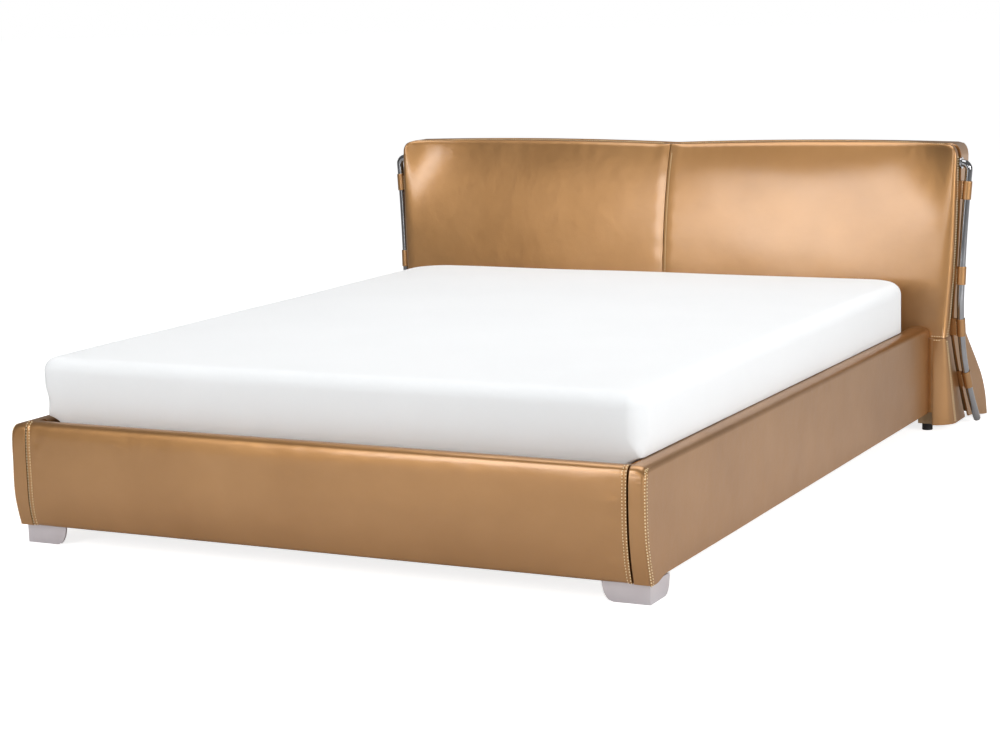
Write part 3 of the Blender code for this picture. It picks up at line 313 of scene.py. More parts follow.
# Uneven leather and cloth: height, lengths along X, Y and Z, and seed
WAVES = {
    "board_tucks": (0.0006, (0.045, 0.2, 0.05), 3),
    "board_tuck_groups": (0.45, (0.31, 1, 1), 4),
    "board_swell": (0.0009, (0.26, 0.3, 0.10), 5),
    "board_pull_turn": (2, (0.1, 1, 0.05), 6),
    "rail_swell": (0.0010, (0.4, 0.5, 0.16), 11),
    "rail_head": (0.0012, (0.09, 0.05, 0.07), 12),
    "rail_top": (0.0006, (0.09, 0.14, 0.1), 13),
    "cushion_swell": (0.0009, (0.30, 1, 0.22), 21),
    "cushion_top": (0.0007, (0.03, 1, 0.2), 22),
    "cushion_pull_turn": (3, (1, 1, 0.2), 23),
    "cushion_gathers": (0.0022, (0.05, 1, 0.09), 24),
    "pad_swell": (0.0010, (0.2, 0.1, 0.12), 31),
    "wrap_swell": (0.0005, (0.1, 1, 0.08), 35),
    "shell_swell": (0.0012, (0.35, 0.3, 0.25), 41),
    "shell_folds": (0.0016, (0.12, 0.1, 0.3), 42),
    "mattress_swell": (0.0013, (0.5, 0.6, 0.3), 51),
    "core_swell": (0.0008, (0.25, 0.3, 0.4), 61),
}

# Finishes
TONE_PLACES = (0.3, 0.7)
WOOD_STRETCH = (1.0, 0.12, 1.0)
# Size against the grain, detail and height of the folds over the pores
LEATHER_FOLDS = ((9, 3.0, 2.4), (50, 2.0, 14))
WEAVE_SIZE = 3
COAT_ROUGHNESS = 0.19
COAT_IOR = 2.2
CLOTH_GLOW_DEPTH = 0.03


# Mesh helpers


def add_mesh(name, vertices, faces, material, merge=False):
    """A mesh piece with outward faces that rides on the root body."""
    mesh = bpy.data.meshes.new(name)
    mesh.from_pydata([tuple(v) for v in vertices], [], [tuple(f) for f in faces])
    bm = bmesh.new()
    bm.from_mesh(mesh)
    if merge:
        bmesh.ops.remove_doubles(bm, verts=bm.verts, dist=MERGE)
        bmesh.ops.dissolve_degenerate(bm, edges=bm.edges, dist=MERGE)
    bmesh.ops.recalc_face_normals(bm, faces=bm.faces)
    if bm.calc_volume(signed=True) < 0:
        bmesh.ops.reverse_faces(bm, faces=bm.faces)
    bm.to_mesh(mesh)
    bm.free()
    mesh.polygons.foreach_set("use_smooth", [True] * len(mesh.polygons))
    mesh.set_sharp_from_angle(angle=SHARP_ANGLE)
    piece = bpy.data.objects.new(name, mesh)
    bpy.context.scene.collection.objects.link(piece)
    mesh.materials.append(material)
    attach(piece, "root")
    return piece


def loft_faces(count, size, closed_run, offset=0):
    """Quads between closed rings of one size that lie one after another."""
    faces = []
    for run in range(count if closed_run else count - 1):
        first = offset + run * size
        second = offset + (run + 1) % count * size
        for k in range(size):
            following = (k + 1) % size
            faces.append((first + k, first + following, second + following, second + k))
    return faces


def loft(name, rings, material, closed_run=False):
    """Closed rings joined into one skin, with a fan over each end unless the run is closed."""
    rings = np.asarray(rings, float)
    count, size = rings.shape[:2]
    vertices = rings.reshape(-1, 3)
    faces = loft_faces(count, size, closed_run)
    if not closed_run:
        ends = np.array([rings[0].mean(0), rings[-1].mean(0)])
        vertices = np.vstack([vertices, ends])
        last = (count - 1) * size
        for k in range(size):
            following = (k + 1) % size
            faces.append((following, k, count * size))
            faces.append((last + k, last + following, count * size + 1))
    return add_mesh(name, vertices, faces, material)


def grid_skin(shares, skip=()):
    """Points (u, v, w) and quads of a block's skin, with some (axis, end) sides left open."""
    counts = [len(values) for values in shares]
    numbers = {}
    faces = []
    for axis in range(3):
        one, two = [other for other in range(3) if other != axis]
        for end in (0, counts[axis] - 1):
            if (axis, -1 if end == 0 else 1) in skip:
                continue
            for i in range(counts[one] - 1):
                for j in range(counts[two] - 1):
                    face = []
                    for a, b in ((i, j), (i + 1, j), (i + 1, j + 1), (i, j + 1)):
                        key = [0, 0, 0]
                        key[axis] = end
                        key[one] = a
                        key[two] = b
                        face.append(numbers.setdefault(tuple(key), len(numbers)))
                    faces.append(face)
    keys = np.array(list(numbers), int)
    columns = [np.asarray(shares[axis], float)[keys[:, axis]] for axis in range(3)]
    return np.stack(columns, 1), faces


def block(name, shares, place, material, merge=False):
    """The closed skin of a block; place turns its rows of (u, v, w) into points."""
    local, faces = grid_skin(shares)
    return add_mesh(name, place(local), faces, material, merge)


def steps(length, spacing, low, high, edge_steps=6):
    """Shares from -1 to 1 over a length, at a spacing, and closer in a run at both ends."""
    near = np.arange(edge_steps) / edge_steps
    count = max(2, int(round((length - low - high) / spacing)))
    middle = np.linspace(low, length - high, count + 1)
    places = np.concatenate([near * low, middle, length - near[::-1] * high])
    return places / length * 2 - 1


def grid_steps(size, grid):
    """Shares along a block's three sides."""
    return [steps(length, *row) for length, row in zip(size, grid)]


def quarter(reach, radius):
    """How far a rounded edge draws back at a distance from it."""
    past = np.clip(1 - reach / radius, 0, 1)
    return radius * (1 - np.sqrt(1 - past ** 2))


def pushed_out(points, core, radius):
    """Points set at a radius from the core that they lie round."""
    away = points - core
    length = np.linalg.norm(away, axis=1, keepdims=True)
    length[length == 0] = 1.0
    return core + away / length * radius


def rounded(local, half, radius):
    """Points of a block's skin, in metres from its middle, with its edges rounded."""
    half = np.asarray(half, float)
    points = local * half
    return pushed_out(points, np.clip(points, radius - half, half - radius), radius)


def rounded_column(local, half, radii, upper_too):
    """Like rounded, but the lower end (and the upper one too) is cut square, with a small edge."""
    half = np.asarray(half, float)
    radii = radii[:, None]
    points = local * half
    core = np.clip(points, radii - half, half - radii)
    square = (points[:, 2] < 0) | upper_too
    core[square, 2] = points[square, 2]
    placed = pushed_out(points, core, radii)
    reach = half[2] - (np.abs(points[:, 2]) if upper_too else -points[:, 2])
    placed[:, :2] *= 1 - quarter(reach, CUSHION_SEAM_EDGE)[:, None] / half[:2]
    return placed


def distances(points):
    """Distance of each point from the first, along the line that they make."""
    lengths = np.linalg.norm(np.diff(points, axis=0), axis=1)
    return np.concatenate([[0.0], np.cumsum(lengths)])


def soft_outline(points, spacing, passes):
    """A closed outline walked at an even spacing, with its corners smoothed."""
    closed = np.array(points + points[:1], float)
    along = distances(closed)
    count = int(round(along[-1] / spacing))
    walk = np.arange(count) / count * along[-1]
    even = np.stack([np.interp(walk, along, closed[:, axis]) for axis in range(2)], 1)
    for _ in range(passes):
        even = (np.roll(even, 1, 0) + 2 * even + np.roll(even, -1, 0)) / 4
    return even


def inset(outline, amount):
    """A closed outline moved inwards."""
    along = np.roll(outline, -1, 0) - np.roll(outline, 1, 0)
    normal = np.stack([along[:, 1], -along[:, 0]], 1)
    normal /= np.linalg.norm(normal, axis=1, keepdims=True)
    following = np.roll(outline, -1, 0)
    area = (outline[:, 0] * following[:, 1] - following[:, 0] * outline[:, 1]).sum()
    return outline - normal * amount * (1 if area > 0 else -1)


def run_stations(start, end, radius, spacing, edge_steps=6):
    """Places along a run with the inset each has, for ends rounded to a radius."""
    angles = [math.pi / 2 * step / edge_steps for step in range(edge_steps)]
    near = [(radius * (1 - math.cos(a)), radius * (1 - math.sin(a))) for a in angles]
    length = end - start
    count = max(2, int(round((length - 2 * radius) / spacing)))
    middle = [(radius + (length - 2 * radius) * step / count, 0.0) for step in range(count + 1)]
    far = [(length - place, amount) for place, amount in reversed(near)]
    return [(start + place, amount) for place, amount in near + middle + far]


def emboss(piece, height):
    """Move each vertex along its normal by the height that the function gives for all points."""
    mesh = piece.data
    count = len(mesh.vertices)
    places = np.zeros(count * 3)
    normals = np.zeros(count * 3)
    mesh.vertices.foreach_get("co", places)
    mesh.vertex_normals.foreach_get("vector", normals)
    places = places.reshape(-1, 3)
    normals = normals.reshape(-1, 3)
    moved = places + normals * np.asarray(height(places, normals))[:, None]
    mesh.vertices.foreach_set("co", moved.ravel())
    mesh.update()


def ripple(points, scale, seed, count=7):
    """Smooth noise from -1 to 1 made of waves of about the given lengths along each axis."""
    source = np.random.default_rng(seed)
    total = np.zeros(len(points))
    scaled = points / np.asarray(scale, float)
    for _ in range(count):
        direction = source.normal(size=3)
        direction /= np.linalg.norm(direction)
        turn = source.uniform(0, 2 * math.pi)
        stretch = source.uniform(0.6, 1.5)
        total += np.sin(scaled @ direction * 2 * math.pi * stretch + turn)
    return total / count


def wave(points, kind, side=0):
    """Uneven leather or cloth of a kind, unlike on the left and the right side."""
    height, lengths, seed = WAVES[kind]
    return height * ripple(points, lengths, seed + side)


def bump_at(values, place, reach):
    """A smooth bump of height 1 around a place."""
    return np.exp(-((values - place) / reach) ** 2)


def fade(values, low, high):
    """0 below low, 1 above high, smooth between."""
    t = np.clip((values - low) / (high - low), 0, 1)
    return t * t * (3 - 2 * t)


# Materials


def put(tree, socket, value):
    """Link a shader input to an output, or set it to a plain value."""
    if isinstance(value, bpy.types.NodeSocket):
        tree.links.new(value, socket)
    else:
        socket.default_value = value


def fill(tree, node, **named):
    """Link or set a shader node's inputs by name."""
    for name, value in named.items():
        put(tree, node.inputs[name.replace("_", " ")], value)
    return node


def add_node(tree, kind, **named):
    """A new shader node with its inputs linked or set."""
    return fill(tree, tree.nodes.new("ShaderNode" + kind), **named)


def multiply_add(tree, *values):
    """The first value times the second, plus the third."""
    node = add_node(tree, "Math")
    node.operation = "MULTIPLY_ADD"
    for socket, value in zip(node.inputs, values):
        put(tree, socket, value)
    return node.outputs[0]


def new_material(name):
    """A node material with its tree and its shader."""
    material = bpy.data.materials.new(name)
    material.use_nodes = True
    return material, material.node_tree, material.node_tree.nodes["Principled BSDF"]


def texture(tree, kind, size, coordinates, **settings):
    """A procedural texture whose features are about size metres across."""
    return add_node(tree, "Tex" + kind, Vector=coordinates, Scale=1 / size, **settings)


def blend_colours(tree, factor, dark, light):
    """Patches of two tones that run into each other."""
    ramp = add_node(tree, "ValToRGB", Fac=factor)
    for element, place, tone in zip(ramp.color_ramp.elements, TONE_PLACES, (dark, light)):
        element.position = place
        element.color = (*tone, 1.0)
    return ramp.outputs["Color"]


def surface(name, dark, light, patch, roughness, grain, depth, kind="plain", slot="", **settings):
    """A finish with patches of two tones, uneven roughness and a fine relief of its own kind."""
    material, tree, shader = new_material(name)
    coordinates = add_node(tree, "TexCoord").outputs["Object"]
    if kind == "wood":
        coordinates = add_node(tree, "Mapping", Vector=coordinates, Scale=WOOD_STRETCH).outputs[0]
    reliefs = []
    if kind == "leather":
        pores = texture(tree, "Voronoi", grain, coordinates, Randomness=1.0)
        reliefs.append((pores.outputs["Distance"], 1.0))
        for size, detail, height in LEATHER_FOLDS:
            folds = texture(tree, "Noise", grain * size, coordinates, Detail=detail)
            reliefs.append((folds.outputs["Fac"], height))
    elif kind == "weave":
        for direction in "XYZ":
            threads = texture(tree, "Wave", grain * WEAVE_SIZE, coordinates, Distortion=0.6)
            threads.bands_direction = direction
            reliefs.append((threads.outputs["Fac"], 1.0))
    else:
        fine = texture(tree, "Noise", grain, coordinates, Detail=6.0)
        reliefs.append((fine.outputs["Fac"], 1.0))
    for height, times in reliefs:
        bump = add_node(tree, "Bump", Distance=depth * times, Height=height)
        if "Normal" in settings:
            put(tree, bump.inputs["Normal"], settings["Normal"])
        settings["Normal"] = bump.outputs["Normal"]
    tones = texture(tree, "Noise", patch, coordinates, Detail=4.0, Roughness=0.55).outputs["Fac"]
    wear = texture(tree, "Noise", patch / 3, coordinates, Detail=3.0).outputs["Fac"]
    rough = add_node(tree, "MapRange", Value=wear, To_Min=roughness[0], To_Max=roughness[1])
    fill(tree, shader, Base_Color=blend_colours(tree, tones, dark, light),
         Roughness=rough.outputs["Result"], Coat_Roughness=COAT_ROUGHNESS, Coat_IOR=COAT_IOR,
         **settings)
    return material


GOLD = surface("gold_leather", (0.375, 0.190, 0.067), (0.44, 0.232, 0.088), 0.30, (0.38, 0.46),
               0.0016, 0.00010, "leather", Metallic=0.96, Coat_Weight=0.27)
THREAD = surface("thread", (0.78, 0.60, 0.33), (0.90, 0.74, 0.46), 0.01, (0.45, 0.6),
                 0.0006, 0.00008, slot="gold_leather")
WHITE_CLOTH = surface("white_cloth", (0.845, 0.862, 0.875), (0.865, 0.882, 0.895), 0.4,
                      (0.85, 0.95), 0.0009, 0.00006, "weave", Sheen_Weight=0.1,
                      Subsurface_Weight=0.6, Subsurface_Radius=(1.0, 1.0, 1.0),
                      Subsurface_Scale=CLOTH_GLOW_DEPTH)
TIMBER = surface("timber", (0.42, 0.27, 0.14), (0.58, 0.42, 0.25), 0.03, (0.55, 0.7),
                 0.003, 0.0001, "wood")
SILVER = surface("silver_lacquer", (0.56, 0.515, 0.54), (0.61, 0.57, 0.59), 0.06, (0.3, 0.4),
                 0.0008, 0.00002, slot="silver_foot", Metallic=0.25, Coat_Weight=0.3)
BLACK = surface("black_plastic", (0.012, 0.012, 0.013), (0.022, 0.022, 0.023), 0.02,
                (0.4, 0.55), 0.0006, 0.00003)
GREY = surface("grey_plastic", (0.5, 0.5, 0.51), (0.56, 0.56, 0.57), 0.02, (0.35, 0.45),
               0.0006, 0.00002)
CHROME = surface("chrome", (0.27, 0.27, 0.28), (0.38, 0.38, 0.39), 0.15, (0.04, 0.10),
                 0.004, 0.000004, Metallic=1.0)
STEEL = surface("steel", (0.45, 0.46, 0.47), (0.55, 0.56, 0.57), 0.03, (0.3, 0.45),
                0.0009, 0.00002, Metallic=1.0)
FOAM = surface("foam", (0.66, 0.62, 0.46), (0.74, 0.71, 0.56), 0.08, (0.9, 1.0), 0.0015, 0.0003)
CORE_VINYL = surface("core_vinyl", (0.1, 0.2, 0.36), (0.14, 0.27, 0.45), 0.2, (0.25, 0.35),
                     0.002, 0.00005)
LINER = surface("liner_vinyl", (0.05, 0.05, 0.055), (0.08, 0.08, 0.085), 0.2, (0.35, 0.5),
                0.002, 0.00005)
HEATER = surface("heater_rubber", (0.03, 0.03, 0.03), (0.05, 0.05, 0.05), 0.05, (0.5, 0.6),
                 0.002, 0.0001)
CIRCUIT = surface("circuit", (0.01, 0.13, 0.045), (0.02, 0.19, 0.07), 0.01, (0.3, 0.4),
                  0.001, 0.00003)

NODE_LOOKS = {
    "headboard_post": TIMBER, "headboard_bottom": TIMBER, "headboard_top": TIMBER,
    "pedestal": TIMBER, "deck": TIMBER, "side_rail_board": TIMBER, "footboard_board": TIMBER,
    "rear_foot": BLACK, "corner": STEEL, "zip_slider": STEEL, "valve_cap": BLACK,
    "control": BLACK, "circuit": CIRCUIT, "temperature": GREY, "power": GREY,
    "tube_socket": CHROME,
}


def dress_nodes():
    """Give every carried-over node its finish."""
    for name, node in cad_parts.items():
        for start, material in NODE_LOOKS.items():
            if name.startswith(start):
                node.data.materials.clear()
                node.data.materials.append(material)


# Stitching


def stitch_row(name, paths, piece):
    """Rows of thread stitches laid on a piece along paths, as one mesh."""
    tree = BVHTree.FromObject(piece, bpy.context.evaluated_depsgraph_get())
    vertices = []
    faces = []
    for path in paths:
        path = np.asarray([tuple(point) for point in path], float)
        along = distances(path)
        for number in range(int(along[-1] / STITCH_PITCH)):
            start = number * STITCH_PITCH
            ends = []
            for at in (start, start + STITCH_LENGTH):
                point = Vector([np.interp(at, along, path[:, axis]) for axis in range(3)])
                ends.append(tree.find_nearest(point)[:2])
            (first, normal), (second, _) = ends
            run = second - first
            if run.length < STITCH_LENGTH / 3:
                continue
            side = run.normalized().cross(normal).normalized()
            base = len(vertices)
            for share, width, rise in STITCH_PROFILE:
                middle = first.lerp(second, share) + normal * (rise * THREAD_RADIUS)
                for turn in range(STITCH_SIDES):
                    angle = 2 * math.pi / STITCH_SIDES * turn
                    spoke = side * math.cos(angle) + normal * math.sin(angle)
                    vertices.append(middle + spoke * THREAD_RADIUS * width)
            faces += loft_faces(len(STITCH_PROFILE), STITCH_SIDES, False, base)
            last = len(vertices) - STITCH_SIDES
            faces.append(tuple(reversed(range(base, base + STITCH_SIDES))))
            faces.append(tuple(range(last, last + STITCH_SIDES)))
    return add_mesh(name, vertices, faces, THREAD)


# Footboard and rails


def arc(centre, radius, start, end, count):
    """Points along a part of a circle, from one angle in degrees to another."""
    angles = np.radians(np.linspace(start, end, count + 1))
    return [(centre[0] + radius * math.cos(a), centre[1] + radius * math.sin(a)) for a in angles]


def belly_face(share):
    """Front of the padding at a share of its height: it bellies out, then draws back on top."""
    reach = np.sin(math.pi / 2 * np.minimum(share, BELLY_PEAK_SHARE) / BELLY_PEAK_SHARE)
    past = np.clip(share - BROW_START, 0, None) / BROW_RUN
    brow = sum(depth * past ** power for depth, power in zip(BROW_DEPTHS, BROW_POWERS))
    return FRONT + BELLY * (1 - reach) + brow


def seam_lean(side, z):
    """How far the seam beside the footboard leans inwards at a height."""
    return SEAM_LEAN[side] * fade(z, *SEAM_LEAN_RISE)


def rail_lean(side, z):
    """How far the rail's outer front edge leans inwards at a height."""
    return RAIL_LEAN[side] * (RAIL_LEAN_LOW + (1 - RAIL_LEAN_LOW) * fade(z, *RAIL_LEAN_RISE))


def belly_outline(back):
    """Side view (Y, Z) of the padded footboard and of the rail's end strip."""
    low = FOOT_LOW.z
    height = FOOT_HIGH.z - low
    bend = 1 - FOOTBOARD_FRONT_ROUND / height
    shares = np.linspace(0, bend, BELLY_STEPS)
    points = [(float(belly_face(share)), low + share * height) for share in shares[:-1]]
    radius = FOOTBOARD_FRONT_ROUND
    centre = (float(belly_face(bend)) + radius, FOOT_HIGH.z - radius)
    points += arc(centre, radius, 180, 90, ROUND_STEPS)
    radius = FOOTBOARD_BACK_ROUND
    fall = FOOT_HIGH.z - FOOTBOARD_TOP_FALL - radius
    points += arc((back - radius, fall), radius, 80, 0, 8)
    points.append((back, low))
    return points


def seam_height(distance):
    """A raised seam: a rounded ridge with a narrow groove on its inner side."""
    ridge = RIDGE_HEIGHT * bump_at(distance, 0.0, RIDGE_REACH)
    return ridge - GROOVE_DEPTH * bump_at(distance, GROOVE_PLACE, GROOVE_REACH)


def lean_ends(board, reach):
    """Draw the footboard's ends in, or out, along the seams."""
    for vertex in board.data.vertices:
        side = 1 if vertex.co.x > 0 else -1
        near = float(fade(abs(vertex.co.x), reach - LEAN_RUN, reach))
        vertex.co.x -= side * near * float(seam_lean(side, vertex.co.z))


def make_footboard():
    """Padded footboard, with a seam and two rows of stitches at each end."""
    outline = soft_outline(belly_outline(FOOT_BACK - CLEAR), BOARD_OUTLINE_STEP, 5)
    reach = FOOT_HIGH.x + BOARD_REACH
    rings = []
    for place, amount in run_stations(-reach, reach, BOARD_END_ROUND, BOARD_STEP):
        flat = inset(outline, amount)
        rings.append(np.column_stack([np.full(len(flat), place), flat]))
    board = loft("footboard", rings, GOLD)

    def relief(points, normals):
        x, _, z = points.T
        front = fade(-normals[:, 1], 0.1, 0.6)
        band = bump_at(z, FOOT_HIGH.z - TUCK_BAND_DROP, TUCK_BAND_REACH)
        tucks = wave(points, "board_tucks") * (0.55 + wave(points, "board_tuck_groups"))
        folds = tucks * band + wave(points, "board_swell") * front
        edge = reach - np.abs(x) - SEAM_INSET
        near_end = PULL_HEIGHT * bump_at(np.abs(x), reach - PULL_INSET, PULL_REACH)
        pulls = near_end * np.sin(z / PULL_PITCH + wave(points, "board_pull_turn")) * front
        return folds * fade(edge, 0.0, SEAM_CALM) + pulls + seam_height(edge) - BOARD_SINK

    emboss(board, relief)
    lean_ends(board, reach)
    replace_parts(board, "footboard_cover")
    end = FOOT_BACK - FOOTBOARD_BACK_ROUND
    seen = [point for point in belly_outline(FOOT_BACK) if point[0] < end]
    paths = []
    for _, side in SIDES:
        for row in BOARD_ROWS:
            x = reach - SEAM_INSET + row * ROW_GAP
            paths.append([(side * (x - float(seam_lean(side, z))), y, z) for y, z in seen])
    stitch_row("footboard_stitches", paths, board)


def crest_height(inside):
    """Top of a rail at a distance inside its outer face."""
    outer = RAIL_OUTER_FALL * (1 - np.sqrt(1 - np.clip(1 - inside / RAIL_CREST, 0, 1) ** 2))
    past = np.clip((inside - RAIL_CREST) / (RAIL_THICK - RAIL_CREST), 0, 1)
    return RAIL_TOP - outer - RAIL_INNER_FALL * (1 - np.sqrt(1 - past ** 2))


def eased(low, high, count):
    """Numbers from low to high that lie closer at both ends."""
    return low + (high - low) * (1 - np.cos(np.linspace(0, math.pi, count + 1))) / 2


def make_front_foot(side_name, side):
    """A corner foot: two flat outer sides, and an inner one that is cut across and curves in."""
    node = "front_foot_" + side_name
    low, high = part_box(node)
    size = high - low
    outer = high.x if side > 0 else low.x

    def place(local):
        u, v, w = ((local + 1) / 2).T
        taper = FOOT_TAPER * (1 - np.sqrt(1 - (1 - w) ** 2))
        across = u * (size.x - taper)
        along = v * (size.y - taper) * (1 - (1 - FOOT_NOSE) * u)
        return np.column_stack([outer - side * across, low.y + along, low.z + w * size.z])

    shares = (np.linspace(-1, 1, FOOT_STEPS),) * 3
    foot = block("corner_foot_" + side_name, shares, place, SILVER)
    edge = foot.modifiers.new("edge", "BEVEL")
    edge.width = FOOT_EDGE
    edge.segments = 3
    edge.angle_limit = math.radians(50)
    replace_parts(foot, node)


def make_rail(side_name, side):
    """Padded rail whose front end is the bellied strip beside the footboard."""
    low = FOOT_LOW.z
    height = FOOT_HIGH.z - low
    start = FOOT_BACK + CLEAR
    reach = RAIL_END - start
    tail = RAIL_TAIL / reach
    beside = STRIP_WIDTH + STRIP_STEP
    inside = np.concatenate([eased(0, STRIP_WIDTH, 22), eased(beside, RAIL_THICK, 12)])
    along = np.concatenate([eased(0, 1, 9), np.linspace(1, 2 - tail, int(reach / RAIL_STEP))[1:],
                            np.linspace(2 - tail, 2, 10)[1:]])
    upward = np.concatenate([np.linspace(0, RAIL_UPPER_SHARE, 26),
                             eased(RAIL_UPPER_SHARE, 1, 14)[1:]])

    def place(local):
        inner, run, rise = local.T
        top = crest_height(inner)
        z = low + rise * (top - low)
        share = np.clip((z - low) / height, 0, 1 - FOOTBOARD_FRONT_ROUND / height)
        face = belly_face(share) + quarter(top - z, FOOTBOARD_FRONT_ROUND)
        radius, growth = STRIP_OUTER_ROUND
        face += quarter(inner, radius + growth * fade(z, *STRIP_ROUND_RISE))
        face += quarter(np.abs(STRIP_WIDTH - inner), STRIP_INNER_ROUND)
        face = np.where(inner > STRIP_WIDTH + STRIP_STEP / 2, start, face)
        y = np.where(run < 1, face + run * (start - face), start + (run - 1) * reach)
        drawn = quarter(RAIL_END - y, RAIL_END_ROUND)
        inner = drawn + inner * (1 - 2 * drawn / RAIL_THICK)
        near = 1 - fade(y - FRONT, *RAIL_LEAN_RUN)
        across = np.clip(inner / STRIP_WIDTH, 0, 1)
        lean = rail_lean(side, z) * (1 - across) + seam_lean(side, z) * across
        beyond = np.clip((RAIL_THICK - inner) / (RAIL_THICK - STRIP_WIDTH), 0, 1)
        inner = inner + lean * beyond * near
        behind = fade(y, FOOT_BACK - RAIL_LIFT_RUN, FOOT_BACK + RAIL_LIFT_RUN)
        z = z - drawn * rise + (1 - rise) * (RAIL_LIFT - low) * behind
        z = z - RAIL_SAG[side] * rise * near
        return np.column_stack([side * (HALF_WIDTH - inner), y, z])

    rail = block("side_rail_" + side_name, (inside, along, upward), place, GOLD, merge=True)

    def relief(points, normals):
        x, y, z = points.T
        edge = HALF_WIDTH - np.abs(x)
        waves = wave(points, "rail_swell", side) * fade(side * normals[:, 0], 0.2, 0.8)
        waves += wave(points, "rail_head", side) * (1 - fade(RAIL_END - y, *RAIL_HEAD_RUN))
        waves += wave(points, "rail_top", side) * fade(normals[:, 2], 0.3, 0.8)
        cap = np.minimum(fade(-normals[:, 1], 0.2, 0.6) + fade(normals[:, 2], 0.5, 0.9), 1)
        cap *= (1 - fade(y - FRONT, STRIP_TOP_RUN, STRIP_CAP_RUN)) * (edge < STRIP_WIDTH)
        across = fade(edge, *TUCK_START) * (1 - fade(edge, *TUCK_END))
        tucks = sum(depth * bump_at(z, level, size) for level, depth, size in STRIP_TUCKS)
        return waves - RAIL_SINK + cap * (seam_height(edge - STRIP_RIDGE) - tucks * across)

    emboss(rail, relief)
    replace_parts(rail, "side_rail_cover_" + side_name)
    seen = [point for point in belly_outline(FOOT_BACK) if point[0] < FRONT + STRIP_TOP_RUN]
    paths = []
    for inwards, back in STRIP_ROWS:
        paths.append([(side * (HALF_WIDTH - inwards - float(rail_lean(side, z))), y + back, z)
                      for y, z in seen])
    stitch_row("strip_stitches_" + side_name, paths, rail)


# Headboard


def side_x(z):
    """Half width of the headboard at a height."""
    below = HEM_SIDE + (HEAD_SIDE_WAIST - HEM_SIDE) * (z - HEM_LIFT) / (HEAD_WAIST - HEM_LIFT)
    rise = (z - HEAD_WAIST) / (HEAD_TOP - HEAD_WAIST)
    above = HEAD_SIDE_WAIST + (HEAD_SIDE_TOP - HEAD_SIDE_WAIST) * rise
    above = above + HEAD_SIDE_SWELL * np.sin(math.pi * rise)
    return np.where(z < HEAD_WAIST, below, above)


def top_z(share):
    """Top line: two shallow arches, with rounded outer corners."""
    arch = HEAD_ARCH * (1 - ((share - HEAD_ARCH_PEAK_SHARE) / HEAD_ARCH_PEAK_SHARE) ** 2)
    corner = HEAD_CORNER_ROUND / HEAD_SIDE_TOP
    past = np.clip((share - 1 + corner) / corner, 0, 1)
    return HEAD_TOP + arch - HEAD_ARCH - HEAD_CORNER_ROUND * (1 - np.sqrt(1 - past ** 2))


def rise_above_waist(z):
    """Share of the way from the waist to the top."""
    return np.clip((z - HEAD_WAIST) / (HEAD_TOP - HEAD_WAIST), 0, None)


def face_y(share, z):
    """Front of the cushions: it curls back in the middle, and the wings stay forward."""
    rise = rise_above_waist(z)
    middle = LEAN * rise + CURL * rise ** 4
    wing = SIDE_LEAN * np.sqrt(rise)
    roll = quarter((1 - share) * HEAD_SIDE_TOP, WING_ROLL_RUN) / WING_ROLL_RUN
    roll *= WING_ROLL_DEPTH * np.minimum(1, rise / WING_ROLL_START)
    return HEAD_FRONT + middle + (wing - middle) * share ** WING_POWER + roll


def gap_y(z):
    """Middle of the gap at the side that the tube follows."""
    rise = (z - GAP_BEND_HEIGHT) / (HEAD_TOP - GAP_BEND_HEIGHT)
    fall = np.clip((GAP_BEND_HEIGHT - z) / GAP_BEND_RUN, 0, None)
    lean = np.where(rise >= 0, GAP_LEAN * rise, GAP_SWEEP * fall ** GAP_POWER)
    return HEAD_FRONT + GAP_SETBACK + lean


def back_y(share, z):
    """Back face of the cushions, which meets the side gap at the outer edge."""
    middle = face_y(share, z) + CUSHION_THICK
    side = gap_y(z) - GAP_WIDTH / 2
    return middle + (side - middle) * np.minimum(1.0, share / BACK_EDGE_SHARE) ** BACK_POWER


def shell_y(z):
    """Rear outline of the shell: it leans above the waist and flares out below."""
    rise = (z - GAP_BEND_HEIGHT) / (HEAD_TOP - GAP_BEND_HEIGHT)
    flare = SHELL_FLARE * fade(GAP_BEND_HEIGHT - z, 0, SHELL_FLARE_HEIGHT)
    return HEAD_FRONT + SHELL_WAIST_SETBACK + np.where(rise >= 0, SHELL_LEAN * rise, flare)


